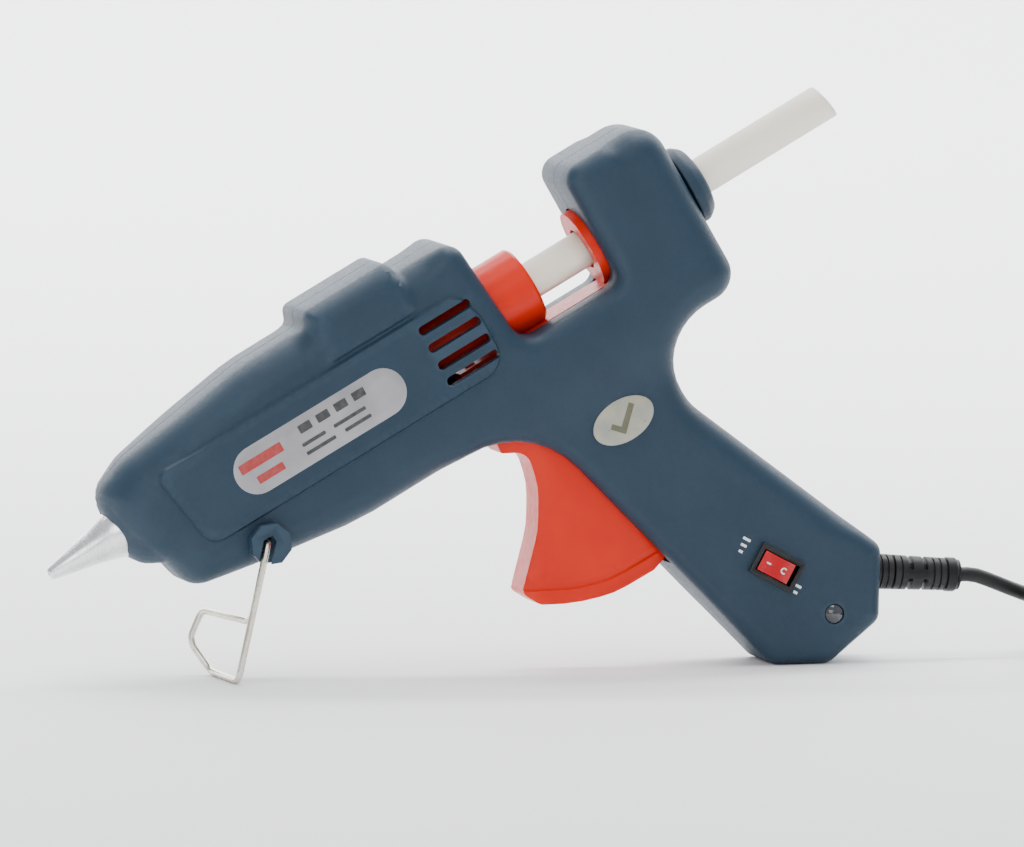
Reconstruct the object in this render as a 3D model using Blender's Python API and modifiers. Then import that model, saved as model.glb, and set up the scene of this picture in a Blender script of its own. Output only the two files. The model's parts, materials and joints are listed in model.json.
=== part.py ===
"""Hot-melt glue gun, nozzle towards -X, standing on its wire stand and the butt of its handle.

Everything is modelled in the gun's own plane and carried by the empty gun_frame, which tips
the barrel nose-down: u runs back along the barrel from the nozzle's tip, y runs across from the
left shell to the right shell, and w runs up from the barrel's axis. Lengths in the code are in
millimetres and become metres as they enter Blender.
"""

import math

import bmesh
import bpy
from mathutils import Matrix, Vector

MM = 0.001
GAP = 0.3  # clearance kept between pieces that touch

# Stance
TILT = math.radians(29.7)  # barrel's slope above the table
AXIS_X, AXIS_Y, AXIS_Z = -124.40, 2.3, 32.011  # nozzle tip's centre

# Housing
WALL = 2.4
SPLIT = 0.15  # half the gap at the parting plane
BARREL_HALF = 18.0
HANDLE_HALF = 15.0
BARREL_EDGE = 5.0
HANDLE_EDGE = 4.0
WINDOW_FRONT, WINDOW_REAR, WINDOW_FLOOR = 153.5, 188.0, -11.7

# Glue path
STICK_R = 5.6
STICK_FRONT, STICK_REAR = 48.0, 272.8
NOZZLE_BASE_R = 7.4
CHAMBER_R = 9.0
CHAMBER_BORE_R = 6.0
CHAMBER_FRONT, CHAMBER_REAR = 28.6, 97.0
CARRIAGE_R = 12.0
CARRIAGE_BORE_R = 6.5
CARRIAGE_NECK_R = 8.4
CARRIAGE_FRONT, CARRIAGE_REAR = 128.0, 166.0
TRAY_TOP, TRAY_BOTTOM, TRAY_HALF = -11.6, -14.1, 7.0

# Trigger, turning on its pin and driving the carriage's pin with a forked arm
PIVOT_U, PIVOT_W = 151.2, -38.6
ARM_HEIGHT = 21.1  # from the pivot's level up to the drive pin's
ARM_LEAN = math.radians(10.0)  # rearwards at rest, the same forwards when squeezed
TRIGGER_HALF = 9.5
DRIVE_U = PIVOT_U + ARM_HEIGHT * math.tan(ARM_LEAN)
DRIVE_W = PIVOT_W + ARM_HEIGHT
PIN_R = 1.5
GRIP_U, GRIP_W = 162.5, -13.0

# Switch, lamp and stand
SWITCH_U, SWITCH_W = 187.0, -109.6
SWITCH_TURN = math.radians(-32.0)
ROCKER_REST = math.radians(-10.0)
LAMP_U, LAMP_W, LAMP_R = 195.5, -131.0, 2.8
STAND_U, STAND_W = 57.7, -21.4
WIRE_R = 1.05
STAND_Y = -20.2

# Power cord
CORD_R = 2.2
RELIEF_U, RELIEF_W = 214.1, -129.1  # where the relief's axis crosses the butt's rear face
RELIEF_TURN = math.radians(33.6)  # the relief's slope below the barrel's direction
RELIEF_LENGTH = 27.0
COIL_X, COIL_Y = 206.0, -16.0
COIL_R = 25.0  # middle of the turns
WINDING_R = 5.85  # circle on which the turns lie round the coil's ring
COIL_LIFT = 8.1  # that circle's centre above the table
TURNS = 7.25
TAIL_ANGLE = 83  # degrees round the coil from its last turn to the plug
PLUG_LIFT = 22.95  # plug's centre above the table, lying on the coil

# Screws: place, half thickness of the housing there
SCREWS = (
    (45.0, -18.0, BARREL_HALF),
    (78.0, 15.8, BARREL_HALF),
    (110.0, -21.5, BARREL_HALF),
    (135.5, 17.4, BARREL_HALF),
    (207.0, 17.0, BARREL_HALF),
    (206.0, -21.0, BARREL_HALF),
    (178.0, -58.0, HANDLE_HALF),
    (177.5, -126.0, HANDLE_HALF),
)
BOSS_R = 3.6

# Corners (u, w, fillet radius) of the barrel's outline, clockwise from the dome's upper corner
BARREL_CORNERS = (
    (21.8, 13.6, 8.0),
    (34.5, 18.9, 12.0),
    (78.0, 25.3, 40.0),
    (150.6, 25.5, 5.6),
    (WINDOW_FRONT, WINDOW_FLOOR, 6.5),
    (WINDOW_REAR, WINDOW_FLOOR, 4.5),
    (WINDOW_REAR, 25.8, 5.6),
    (220.0, 25.8, 9.5),
    (220.2, -31.9, 6.5),
    (86.0, -32.4, 60.0),
    (32.9, -24.2, 7.5),
    (30.3, -13.9, 1.0),
    (22.0, -9.8, 8.0),
)

# Corners of the handle's outline. Its upper part is buried in the barrel.
HANDLE_CORNERS = (
    (118.0, -22.0, 0.0),
    (212.0, -22.0, 0.0),
    (212.0, -31.7, 0.0),
    (189.3, -31.7, 18.0),
    (189.6, -54.7, 18.0),
    (218.6, -121.6, 4.5),
    (207.3, -140.4, 4.6),
    (187.5, -143.8, 6.0),
    (172.2, -135.07, 6.0),
    (144.8, -32.15, 28.7),
    (118.0, -32.15, 0.0),
)

# Visible outline of the trigger, then its hidden part around the pivot up to the fork
TRIGGER_CORNERS = (
    (133.5, -33.9, 0.8),
    (133.2, -38.5, 0.8),
    (140.2, -42.2, 5.0),
    (138.0, -52.8, 20.0),
    (131.5, -64.0, 30.0),
    (118.0, -77.8, 2.2),
    (121.2, -83.6, 3.0),
    (130.0, -88.4, 30.0),
    (142.0, -92.3, 30.0),
    (156.0, -92.6, 2.0),
    (161.5, -90.8, 1.0),
    (163.0, -84.0, 2.0),
    (163.0, -50.0, 8.0),
    (158.5, -33.5, 5.0),
    (146.0, -30.5, 5.0),
    (136.0, -28.4, 1.0),
)

# Slot in the housing that the trigger swings through, its foot an arc about the pivot
TRIGGER_SLOT = (
    (132.6, -28.0),
    (150.0, -28.0),
    (174.0, -88.4),
    (167.0, -91.6),
    (160.0, -93.4),
    (145.0, -94.2),
    (118.0, -50.0),
    (132.6, -38.0),
)


def start_scene():
    """Clear the startup objects and make the two collections."""
    for obj in list(bpy.data.objects):
        bpy.data.objects.remove(obj)
    for name in ("glue_gun", "cutters"):
        bpy.context.scene.collection.children.link(bpy.data.collections.new(name))


def material(name, colour, roughness, metallic=0.0, alpha=1.0):
    made = bpy.data.materials.get(name)
    if made is None:
        made = bpy.data.materials.new(name)
        made.use_nodes = True
        shader = made.node_tree.nodes["Principled BSDF"]
        shader.inputs["Base Color"].default_value = (*colour, 1.0)
        shader.inputs["Roughness"].default_value = roughness
        shader.inputs["Metallic"].default_value = metallic
        shader.inputs["Alpha"].default_value = alpha
    return made


def housing_blue():
    return material("housing_blue", (0.040, 0.062, 0.095), 0.55)


def signal_orange():
    return material("signal_orange", (0.80, 0.085, 0.015), 0.35)


def black_plastic():
    return material("black_plastic", (0.015, 0.015, 0.016), 0.45)


def steel():
    return material("steel", (0.55, 0.55, 0.56), 0.35, 1.0)


def metres(*lengths):
    return Vector(lengths) * MM


def empty(name, u, w, parent=None, turn=0.0):
    """An empty in the gun's plane, turned about the y axis."""
    made = bpy.data.objects.new(name, None)
    bpy.data.collections["glue_gun"].objects.link(made)
    made.empty_display_size = 0.01
    made.parent = parent
    made.location = metres(u, 0.0, w)
    made.rotation_euler = (0.0, turn, 0.0)
    return made


def add(name, mesh, paint, parent, location=(0, 0, 0), rotation=(0, 0, 0)):
    """Link an object. With no material it is a cutter."""
    made = bpy.data.objects.new(name, mesh)
    bpy.data.collections["glue_gun" if paint else "cutters"].objects.link(made)
    made.parent = parent
    made.location = metres(*location)
    made.rotation_euler = rotation
    if paint:
        mesh.materials.append(paint)
    else:
        made.hide_render = True
        made.display_type = "WIRE"
    return made


def smooth(obj, angle=40.0):
    obj.data.shade_smooth()
    obj.data.set_sharp_from_angle(angle=math.radians(angle))


def filleted(corners, step=18.0):
    """Points of a closed outline whose corners (u, w, radius) are rounded with arcs."""
    points = []
    for i, (u, w, radius) in enumerate(corners):
        here = Vector((u, w))
        back = (Vector(corners[i - 1][:2]) - here).normalized()
        on = (Vector(corners[(i + 1) % len(corners)][:2]) - here).normalized()
        half = back.angle(on) / 2
        if radius <= 0.0 or half > math.radians(89.9):
            points.append(here)
            continue
        centre = here + (back + on).normalized() * radius / math.sin(half)
        first = here + back * radius / math.tan(half) - centre
        turn = math.pi - 2 * half
        if back.cross(on) > 0:
            turn = -turn
        count = max(1, math.ceil(abs(math.degrees(turn)) / step))
        for k in range(count + 1):
            points.append(centre + Matrix.Rotation(turn * k / count, 2) @ first)
    return [tuple(point) for point in points]


def inset(corners, depth):
    """The corners moved inwards by depth, for an outline given clockwise."""
    moved = []
    for i, (u, w, radius) in enumerate(corners):
        here = Vector((u, w))
        before = (here - Vector(corners[i - 1][:2])).normalized()
        after = (Vector(corners[(i + 1) % len(corners)][:2]) - here).normalized()
        left = Vector((before.y, -before.x))
        right = Vector((after.y, -after.x))
        bisector = (left + right).normalized()
        place = here + bisector * depth / bisector.dot(left)
        convex = before.cross(after) < 0
        if radius > 0:
            radius = max(radius - depth, 0.4) if convex else radius + depth
        moved.append((place.x, place.y, radius))
    return moved


def meshed(curve_object):
    """The evaluated mesh of a curve object with its caps welded. The curve is removed."""
    bpy.context.view_layer.update()
    graph = bpy.context.evaluated_depsgraph_get()
    mesh = bpy.data.meshes.new_from_object(curve_object.evaluated_get(graph))
    mesh.name = curve_object.name
    curve = curve_object.data
    bpy.data.objects.remove(curve_object)
    bpy.data.curves.remove(curve)
    work = bmesh.new()
    work.from_mesh(mesh)
    bmesh.ops.remove_doubles(work, verts=work.verts, dist=1e-6)
    bmesh.ops.recalc_face_normals(work, faces=work.faces)
    if work.calc_volume(signed=True) < 0:
        bmesh.ops.reverse_faces(work, faces=work.faces)
    work.to_mesh(mesh)
    work.free()
    return mesh


def flat(name, outline, y_low, y_high, paint, parent, origin=(0.0, 0.0), edge=0.0, segments=1):
    """A flat piece: an outline in the gun's plane, from y_low to y_high, edges rounded."""
    curve = bpy.data.curves.new(name, "CURVE")
    curve.dimensions = "2D"
    curve.fill_mode = "BOTH"
    curve.extrude = (y_high - y_low) / 2 * MM
    spline = curve.splines.new("POLY")
    spline.points.add(len(outline) - 1)
    for point, (u, w) in zip(spline.points, outline):
        point.co = (*metres(u - origin[0], w - origin[1]), 0.0, 1.0)
    spline.use_cyclic_u = True
    holder = bpy.data.objects.new(name, curve)
    bpy.context.scene.collection.objects.link(holder)
    mesh = meshed(holder)
    if edge:
        join_caps(mesh)
    place = (origin[0], (y_low + y_high) / 2, origin[1])
    made = add(name, mesh, paint, parent, place, (math.pi / 2, 0.0, 0.0))
    if edge:
        bevel = made.modifiers.new("edge", "BEVEL")
        bevel.width = edge * MM
        bevel.segments = segments
        bevel.limit_method = "ANGLE"
        bevel.angle_limit = math.radians(60)
        bevel.use_clamp_overlap = False
    return made


def join_caps(mesh):
    """Make each flat cap one face, so that a bevel can run round it."""
    work = bmesh.new()
    work.from_mesh(mesh)
    caps = [face for face in work.faces if abs(face.normal.z) > 0.9]
    inner = {edge for face in caps for edge in face.edges}
    inner = [edge for edge in inner if all(face in caps for face in edge.link_faces)]
    bmesh.ops.dissolve_edges(work, edges=inner, use_verts=False)
    work.to_mesh(mesh)
    work.free()


def box(name, low, high, paint, parent, rotation=(0, 0, 0)):
    """A box between two corners (u, y, w)."""
    work = bmesh.new()
    bmesh.ops.create_cube(work, size=1.0)
    size = [(b - a) * MM for a, b in zip(low, high)]
    bmesh.ops.scale(work, vec=size, verts=work.verts)
    mesh = bpy.data.meshes.new(name)
    work.to_mesh(mesh)
    work.free()
    middle = [(a + b) / 2 for a, b in zip(low, high)]
    return add(name, mesh, paint, parent, middle, rotation)


def rod(name, start, end, radius, paint, parent, sides=20):
    """A round rod between two points (u, y, w)."""
    work = bmesh.new()
    along = metres(*end) - metres(*start)
    bmesh.ops.create_cone(
        work,
        cap_ends=True,
        segments=sides,
        radius1=radius * MM,
        radius2=radius * MM,
        depth=along.length,
    )
    bmesh.ops.rotate(work, matrix=along.to_track_quat("Z", "Y").to_matrix(), verts=work.verts)
    mesh = bpy.data.meshes.new(name)
    work.to_mesh(mesh)
    work.free()
    middle = [(a + b) / 2 for a, b in zip(start, end)]
    made = add(name, mesh, paint, parent, middle)
    smooth(made)
    return made


def turned(name, profile, paint, parent, origin=(0, 0, 0), rotation=(0, math.pi / 2, 0), steps=28):
    """A turned piece. The profile (radius, height) is closed and runs down its outer side."""
    mesh = bpy.data.meshes.new(name)
    points = [metres(radius, 0.0, height) for radius, height in profile]
    closed = all(radius > 0.0 for radius, height in profile)
    edges = [(i, i + 1) for i in range(len(points) - 1)]
    if closed:
        edges.append((len(points) - 1, 0))
    mesh.from_pydata(points, edges, [])
    made = add(name, mesh, paint, parent, origin, rotation)
    screw = made.modifiers.new("turn", "SCREW")
    screw.steps = steps
    screw.render_steps = steps
    screw.use_merge_vertices = True
    screw.merge_threshold = 1e-5
    screw.use_smooth_shade = True
    return made


def wire(name, points, radius, paint, parent, resolution=2):
    """A round wire or tube with filled ends through points (u, y, w)."""
    curve = bpy.data.curves.new(name, "CURVE")
    curve.dimensions = "3D"
    curve.bevel_depth = radius * MM
    curve.bevel_resolution = resolution
    curve.use_fill_caps = True
    spline = curve.splines.new("POLY")
    spline.points.add(len(points) - 1)
    for place, point in zip(spline.points, points):
        place.co = (*metres(*point), 1.0)
    made = bpy.data.objects.new(name, curve)
    bpy.data.collections["glue_gun"].objects.link(made)
    made.parent = parent
    curve.materials.append(paint)
    return made


def bent(points, radius, count=4):
    """A path whose inner points are rounded with arcs of the given radius."""
    path = [Vector(points[0])]
    for before, here, after in zip(points, points[1:], points[2:]):
        here = Vector(here)
        back = Vector(before) - here
        on = Vector(after) - here
        reach = min(radius, back.length * 0.45, on.length * 0.45)
        start = here + back.normalized() * reach
        end = here + on.normalized() * reach
        for k in range(count + 1):
            t = k / count
            path.append(start * (1 - t) ** 2 + here * 2 * t * (1 - t) + end * t**2)
    path.append(Vector(points[-1]))
    return path


def through(points, spacing):
    """Points of a smooth curve through the given ones, about spacing apart."""
    fine = []
    padded = [points[0], *points, points[-1]]
    for a, b, c, d in zip(padded, padded[1:], padded[2:], padded[3:]):
        a, b, c, d = (Vector(point) for point in (a, b, c, d))
        for k in range(20):
            t = k / 20
            fine.append(
                (b * 2 + (c - a) * t + (a * 2 - b * 5 + c * 4 - d) * t**2 + (b * 3 - a - c * 3 + d) * t**3) / 2
            )
    fine.append(Vector(points[-1]))
    total = sum((q - p).length for p, q in zip(fine, fine[1:]))
    count = max(2, round(total / spacing))
    path = [fine[0]]
    run = 0.0
    for p, q in zip(fine, fine[1:]):
        step = (q - p).length
        while run + step >= total * len(path) / count and len(path) < count:
            path.append(p.lerp(q, (total * len(path) / count - run) / step))
        run += step
    path.append(fine[-1])
    return path


def world(u, y, w):
    """A point of the gun's plane in table coordinates, in millimetres."""
    return Vector(
        (
            AXIS_X + u * math.cos(TILT) - w * math.sin(TILT),
            AXIS_Y + y,
            AXIS_Z + u * math.sin(TILT) + w * math.cos(TILT),
        )
    )


def cut(target, cutter):
    change = target.modifiers.new(cutter.name, "BOOLEAN")
    change.operation = "DIFFERENCE"
    change.object = cutter
    change.solver = "EXACT"


def joined(target, other):
    """Join a piece to another with a union and keep it as a helper."""
    change = target.modifiers.new(other.name, "BOOLEAN")
    change.operation = "UNION"
    change.object = other
    change.solver = "EXACT"


def slot_outline(u_low, u_high, w, height):
    half = height / 2
    corners = (
        (u_low, w + half, half * 0.9),
        (u_high, w + half, half * 0.9),
        (u_high, w - half, half * 0.9),
        (u_low, w - half, half * 0.9),
    )
    return filleted(corners, 45)


def relief_point(along, across=0.0):
    """A point in the gun's plane beside the strain relief's axis."""
    u = RELIEF_U + along * math.cos(RELIEF_TURN) + across * math.sin(RELIEF_TURN)
    w = RELIEF_W - along * math.sin(RELIEF_TURN) + across * math.cos(RELIEF_TURN)
    return u, w


def lift(point):
    """A point of the gun's middle plane, given as (u, w), with its y."""
    return point[0], 0.0, point[1]


def housing_cutters(gun):
    """What both shells lose once their posts are in: holes, slots and windows."""
    cutters = [
        rod("cut_nozzle", (12, 0, 0), (30, 0, 0), 7.9, None, gun, 28),
        rod("cut_front_bore", (138, 0, 0), (156, 0, 0), CARRIAGE_R + 0.5, None, gun, 32),
        rod("cut_rear_bore", (184, 0, 0), (193, 0, 0), CARRIAGE_R + 0.5, None, gun, 32),
        rod("cut_collar", (213, 0, 0), (224, 0, 0), 9.3, None, gun, 28),
        box("cut_tray", (147, -7.6, -17), (191, 7.6, -9), None, gun),
        flat(
            "cut_trigger",
            TRIGGER_SLOT,
            -TRIGGER_HALF - 0.7,
            TRIGGER_HALF + 0.7,
            None,
            gun,
        ),
    ]
    for k, w in enumerate((7.9, 2.0, -3.9, -9.4)):
        outline = slot_outline(127.3, 145.2, w, 2.9)
        cutters.append(flat(f"cut_vent_{k}", outline, -20, 20, None, gun))
    start, end = relief_point(-8), relief_point(6)
    cutters.append(rod("cut_relief", (start[0], 0, start[1]), (end[0], 0, end[1]), 4.7, None, gun))
    return cutters


def shell(name, side, gun, block, cavities, cutters):
    """One half of the housing. side is -1 for the left half and 1 for the right one."""
    outer = block(f"{name}_block")
    outer.name = name
    across = (SPLIT, -40.0) if side > 0 else (-SPLIT, 40.0)
    half = box(f"{name}_half", (-10, min(across), -170), (260, max(across), 60), None, gun)
    cut(outer, half)
    for cavity in cavities:
        cut(outer, cavity)
    for k, (u, w, thickness) in enumerate(SCREWS):
        reach = side * (thickness - 1.2)
        post = rod(f"{name}_post_{k}", (u, side * SPLIT, w), (u, reach, w), BOSS_R, None, gun, 16)
        joined(outer, post)
    rib = box(
        f"{name}_rib",
        (115, min(side * SPLIT, side * 16.5), -23),
        (117.6, max(side * SPLIT, side * 16.5), -13.6),
        None,
        gun,
    )
    joined(outer, rib)
    return outer


def screw_holes(left, right, gun):
    for k, (u, w, thickness) in enumerate(SCREWS):
        floor = thickness - 2.1
        pilot = rod(f"cut_pilot_{k}", (u, -10.5, w), (u, 1, w), 1.45, None, gun, 12)
        through_hole = rod(f"cut_screw_{k}", (u, -1, w), (u, floor + 1, w), 1.6, None, gun, 12)
        head = rod(f"cut_head_{k}", (u, floor, w), (u, thickness + 2, w), 3.2, None, gun, 16)
        cut(left, pilot)
        cut(right, through_hole)
        cut(right, head)


def stand_boss(left, gun):
    """The pad on the left shell that the wire stand turns in, open below for the wire."""
    pad = rod("boss_pad", (STAND_U, -22.6, STAND_W - 0.8), (STAND_U, -17, STAND_W - 0.8), 6.0, None, gun, 28)
    joined(left, pad)
    room = rod("cut_boss_room", (STAND_U, -21.5, STAND_W), (STAND_U, -18.4, STAND_W), 2.6, None, gun, 16)
    sweep = flat(
        "cut_boss_sweep",
        [(55.4, -20.2), (60.2, -18.6), (68, -22.5), (68, -32), (44, -32), (48, -29.5)],
        -21.6,
        -18.5,
        None,
        gun,
    )
    slit = flat(
        "cut_boss_slit",
        [(56.2, -20.0), (59.2, -20.0), (59.4, -22.2), (50.5, -32.0), (47.6, -29.4)],
        -24,
        -20.3,
        None,
        gun,
    )
    hole = rod("cut_boss_hole", (STAND_U, -19, STAND_W), (STAND_U, -10, STAND_W), WIRE_R + 0.3, None, gun, 16)
    for cutter in (room, sweep, slit, hole):
        cut(left, cutter)


def housing(gun):
    """The two shells, their posts and every opening."""

    def block(name):
        barrel = flat(
            name,
            filleted(BARREL_CORNERS),
            -BARREL_HALF,
            BARREL_HALF,
            housing_blue(),
            gun,
            edge=BARREL_EDGE,
            segments=2,
        )
        hood = flat(
            f"{name}_hood",
            filleted(((99.6, 30.1, 3.0), (130.9, 30.1, 3.0), (130.9, 15.0, 0.0), (99.6, 15.0, 0.0))),
            -12.5,
            12.5,
            None,
            gun,
            edge=2.5,
            segments=2,
        )
        handle = flat(
            f"{name}_handle",
            filleted(HANDLE_CORNERS),
            -HANDLE_HALF,
            HANDLE_HALF,
            None,
            gun,
            edge=HANDLE_EDGE,
            segments=2,
        )
        joined(barrel, hood)
        joined(barrel, handle)
        return barrel

    inner = BARREL_HALF - WALL
    cavities = [
        flat("cut_barrel", filleted(inset(BARREL_CORNERS, WALL)), -inner, inner, None, gun),
        flat(
            "cut_handle",
            filleted(inset(HANDLE_CORNERS, WALL)),
            WALL - HANDLE_HALF,
            HANDLE_HALF - WALL,
            None,
            gun,
        ),
    ]
    cutters = housing_cutters(gun)
    left = shell("left_shell", -1, gun, block, cavities, cutters)
    right = shell("right_shell", 1, gun, block, cavities, cutters)
    for post, across in enumerate((-5.6, 5.6)):
        u, w = relief_point(-10.5, across)
        joined(left, rod(f"clamp_post_{post}", (u, -14, w), (u, 2.2, w), 2.5, None, gun, 14))
    for piece in (left, right):
        for cutter in cutters:
            cut(piece, cutter)
    screw_holes(left, right, gun)
    stand_boss(left, gun)
    for post, across in enumerate((-5.6, 5.6)):
        u, w = relief_point(-10.5, across)
        cut(left, rod(f"cut_clamp_post_{post}", (u, -6, w), (u, 5, w), 1.2, None, gun, 12))
    seat = empty("switch_seat", SWITCH_U, SWITCH_W, gun, SWITCH_TURN)
    cut(left, box("cut_switch", (-4.4, -19, -6.9), (4.4, -9, 6.9), None, seat))
    cut(left, rod("cut_lamp", (LAMP_U, -19, LAMP_W), (LAMP_U, -9, LAMP_W), LAMP_R + 0.2, None, gun))
    return seat


def shell_screws(gun):
    for k, (u, w, thickness) in enumerate(SCREWS):
        floor = thickness - 2.1 + GAP
        profile = (
            (0.0, floor + 1.7),
            (1.8, floor + 1.6),
            (2.8, floor + 0.8),
            (2.8, floor),
            (1.25, floor),
            (1.25, -8.6),
            (0.0, -9.6),
        )
        turned(f"shell_screw_{k + 1}", profile, steel(), gun, (u, 0, w), (-math.pi / 2, 0, 0), 14)


def glue_path(gun):
    """Nozzle, melt chamber, its holders, the heater and the inlet sleeve."""
    aluminium = material("aluminium", (0.72, 0.72, 0.73), 0.35, 1.0)
    nozzle = (
        (5.0, 38.0),
        (5.0, 28.0),
        (NOZZLE_BASE_R, 27.6),
        (NOZZLE_BASE_R, 22.0),
        (5.5, 16.5),
        (2.2, 1.0),
        (1.7, -0.5),
        (0.9, -0.5),
        (0.9, 4.0),
        (3.0, 12.0),
        (3.0, 38.0),
    )
    turned("nozzle", nozzle, aluminium, gun)
    chamber = (
        (8.0, CHAMBER_REAR),
        (8.0, 90.0),
        (CHAMBER_R, 88.0),
        (CHAMBER_R, CHAMBER_FRONT),
        (5.3, CHAMBER_FRONT),
        (5.3, 38.4),
        (CHAMBER_BORE_R, 39.4),
        (CHAMBER_BORE_R, CHAMBER_REAR),
    )
    body = turned("melt_chamber", chamber, aluminium, gun)
    lug = box("chamber_lug", (52, -8.5, -17.2), (84, 8.5, -6.5), None, gun)
    pocket = box("cut_heater_pocket", (48, -7.0, -15.8), (90, 7.0, -9.6), None, gun)
    bore = rod("cut_chamber_bore", (42, 0, 0), (99, 0, 0), CHAMBER_BORE_R, None, gun, 28)
    joined(body, lug)
    cut(body, pocket)
    cut(body, bore)
    ceramic = material("ceramic", (0.75, 0.72, 0.66), 0.6)
    box("ptc_heater", (54, -6.6, -14.2), (83, 6.6, -9.9), ceramic, gun)
    clip = [(53, -14.5), (83.5, -14.5), (83.5, -15.4), (68, -15.0), (53, -15.4)]
    flat("heater_clip", clip, -5.5, 5.5, steel(), gun)
    phenolic = material("phenolic", (0.20, 0.10, 0.05), 0.6)
    rings = []
    for name, start in (("front_insulator_ring", 34.5), ("rear_insulator_ring", 84.6)):
        inner = CHAMBER_R + GAP
        ring = ((15.2, start + 2.6), (15.2, start), (inner, start), (inner, start + 2.6))
        rings.append(turned(name, ring, phenolic, gun))
    cut(rings[1], box("cut_lead_window", (84, -4.0, -14.2), (88, 4.0, -10.4), None, gun))
    sleeve = (
        (9.8, 118.0),
        (9.8, 91.0),
        (8.3, 91.0),
        (8.3, 98.0),
        (6.1, 99.0),
        (6.1, 118.0),
    )
    turned("inlet_sleeve", sleeve, material("silicone", (0.55, 0.12, 0.06), 0.5), gun, steps=24)
    loop = [
        (93.5, 10.9 * math.cos(angle), 10.9 * math.sin(angle))
        for angle in (math.radians(100 + 340 * k / 24) for k in range(25))
    ]
    wire("sleeve_clamp", loop, 0.8, steel(), gun)


def glue_stick(gun):
    holder = empty("glue_stick_axis", STICK_REAR, 0.0, gun)
    length = STICK_REAR - STICK_FRONT
    profile = (
        (0.0, 0.0),
        (STICK_R - 0.4, 0.0),
        (STICK_R, -0.4),
        (STICK_R, 1.0 - length),
        (STICK_R - 1.5, -length),
        (0.0, -length),
    )
    wax = material("glue_wax", (0.80, 0.80, 0.78), 0.4, alpha=0.9)
    turned("glue_stick", profile, wax, holder, steps=24)


def carriage(gun):
    """The orange feed carriage: a long sleeve, a tray under the stick and a rear rim."""
    holder = empty("carriage_axis", 0.0, 0.0, gun)
    orange = signal_orange()
    sleeve = (
        (CARRIAGE_R, CARRIAGE_REAR - 1.0),
        (CARRIAGE_R, 149.5),
        (CARRIAGE_NECK_R, 147.5),
        (CARRIAGE_NECK_R, CARRIAGE_FRONT),
        (CARRIAGE_BORE_R + 1.0, CARRIAGE_FRONT),
        (CARRIAGE_BORE_R, CARRIAGE_FRONT + 3.0),
        (CARRIAGE_BORE_R, CARRIAGE_REAR),
        (CARRIAGE_R - 1.0, CARRIAGE_REAR),
    )
    body = turned("feed_carriage", sleeve, orange, holder, steps=32)
    rim = turned(
        "carriage_rim",
        ((11.95, 189.4), (11.95, 185.6), (CARRIAGE_BORE_R, 185.6), (CARRIAGE_BORE_R, 189.4)),
        None,
        holder,
        steps=32,
    )
    tray = box("carriage_tray", (134, -TRAY_HALF, TRAY_BOTTOM), (187.6, TRAY_HALF, TRAY_TOP), None, holder)
    stop = box("carriage_stop", (137, -4, -22), (140, 4, -11), None, holder)
    peg = rod("carriage_peg", (133, 0, -18), (138, 0, -18), 1.7, None, holder, 12)
    for piece in (rim, tray, stop, peg):
        joined(body, piece)
    for k, y in enumerate((-6.6, 3.6)):
        corners = ((150.5, -13, 0.0), (159.3, -13, 0.0), (159.3, -20.5, 3.0), (150.5, -20.5, 3.0))
        joined(body, flat(f"carriage_ear_{k}", filleted(corners), y, y + 3.0, None, holder))
    cut(body, rod("cut_drive_pin", (DRIVE_U, -9, DRIVE_W), (DRIVE_U, 9, DRIVE_W), PIN_R + 0.1, None, holder))
    cut(body, box("cut_grip_window", (155.5, -2.2, -16), (165.0, 2.2, -4), None, holder))
    for k, y in enumerate((-5.3, 2.5)):
        lug = box(f"grip_lug_{k}", (160.4, y, -17), (164.6, y + 2.8, -13.3), None, holder)
        joined(body, lug)
    cut(body, rod("cut_grip_pin", (GRIP_U, -9, GRIP_W - 1.9), (GRIP_U, 9, GRIP_W - 1.9), 1.1, None, holder, 14))
    rod("drive_pin", (DRIVE_U, -6.5, DRIVE_W), (DRIVE_U, 6.5, DRIVE_W), PIN_R, steel(), holder)


def gripper(gun):
    """The toothed lever that bites the stick as the carriage moves forward."""
    pivot_w = GRIP_W - 1.9
    holder = empty("gripper_axis", GRIP_U, pivot_w, gun)
    corners = (
        (156.6, -6.3, 0.5),
        (160.2, -7.6, 1.0),
        (164.6, -13.4, 2.0),
        (164.2, -17.2, 2.0),
        (160.8, -17.2, 2.0),
        (157.3, -11.0, 2.0),
    )
    outline = [(u - GRIP_U, w - pivot_w) for u, w in filleted(corners, 45)]
    lever = flat("gripper_lever", outline, -1.8, 1.8, steel(), holder)
    cut(lever, rod("cut_gripper", (0, -5, 0), (0, 5, 0), 1.1, None, holder, 14))
    rod("gripper_pin", (0, -4.8, 0), (0, 4.8, 0), 0.9, steel(), holder, 14)


def trigger(gun):
    """Trigger blade, its web up to the fork that drives the carriage, and its pin."""
    holder = empty("trigger_axis", PIVOT_U, PIVOT_W, gun)
    origin = (PIVOT_U, PIVOT_W)

    def local(points):
        return [(u - origin[0], w - origin[1]) for u, w in points]

    blade = flat(
        "trigger",
        local(filleted(TRIGGER_CORNERS)),
        -TRIGGER_HALF,
        TRIGGER_HALF,
        signal_orange(),
        holder,
        edge=1.2,
    )
    lean = empty("trigger_lean", 0.0, 0.0, holder, ARM_LEAN)
    arm = box("trigger_arm", (-4.3, -3.0, -6.0), (4.3, 3.0, 23.2), None, lean)
    fork = box("cut_fork", (-1.75, -5, 19.4), (1.75, 5, 26), None, lean)
    joined(blade, arm)
    cut(blade, fork)
    cut(blade, rod("cut_trigger_pin", (0, -20, 0), (0, 20, 0), 1.75, None, holder, 20))
    rod("trigger_pin", (PIVOT_U, -12.3, PIVOT_W), (PIVOT_U, 12.3, PIVOT_W), PIN_R, steel(), gun)


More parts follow.
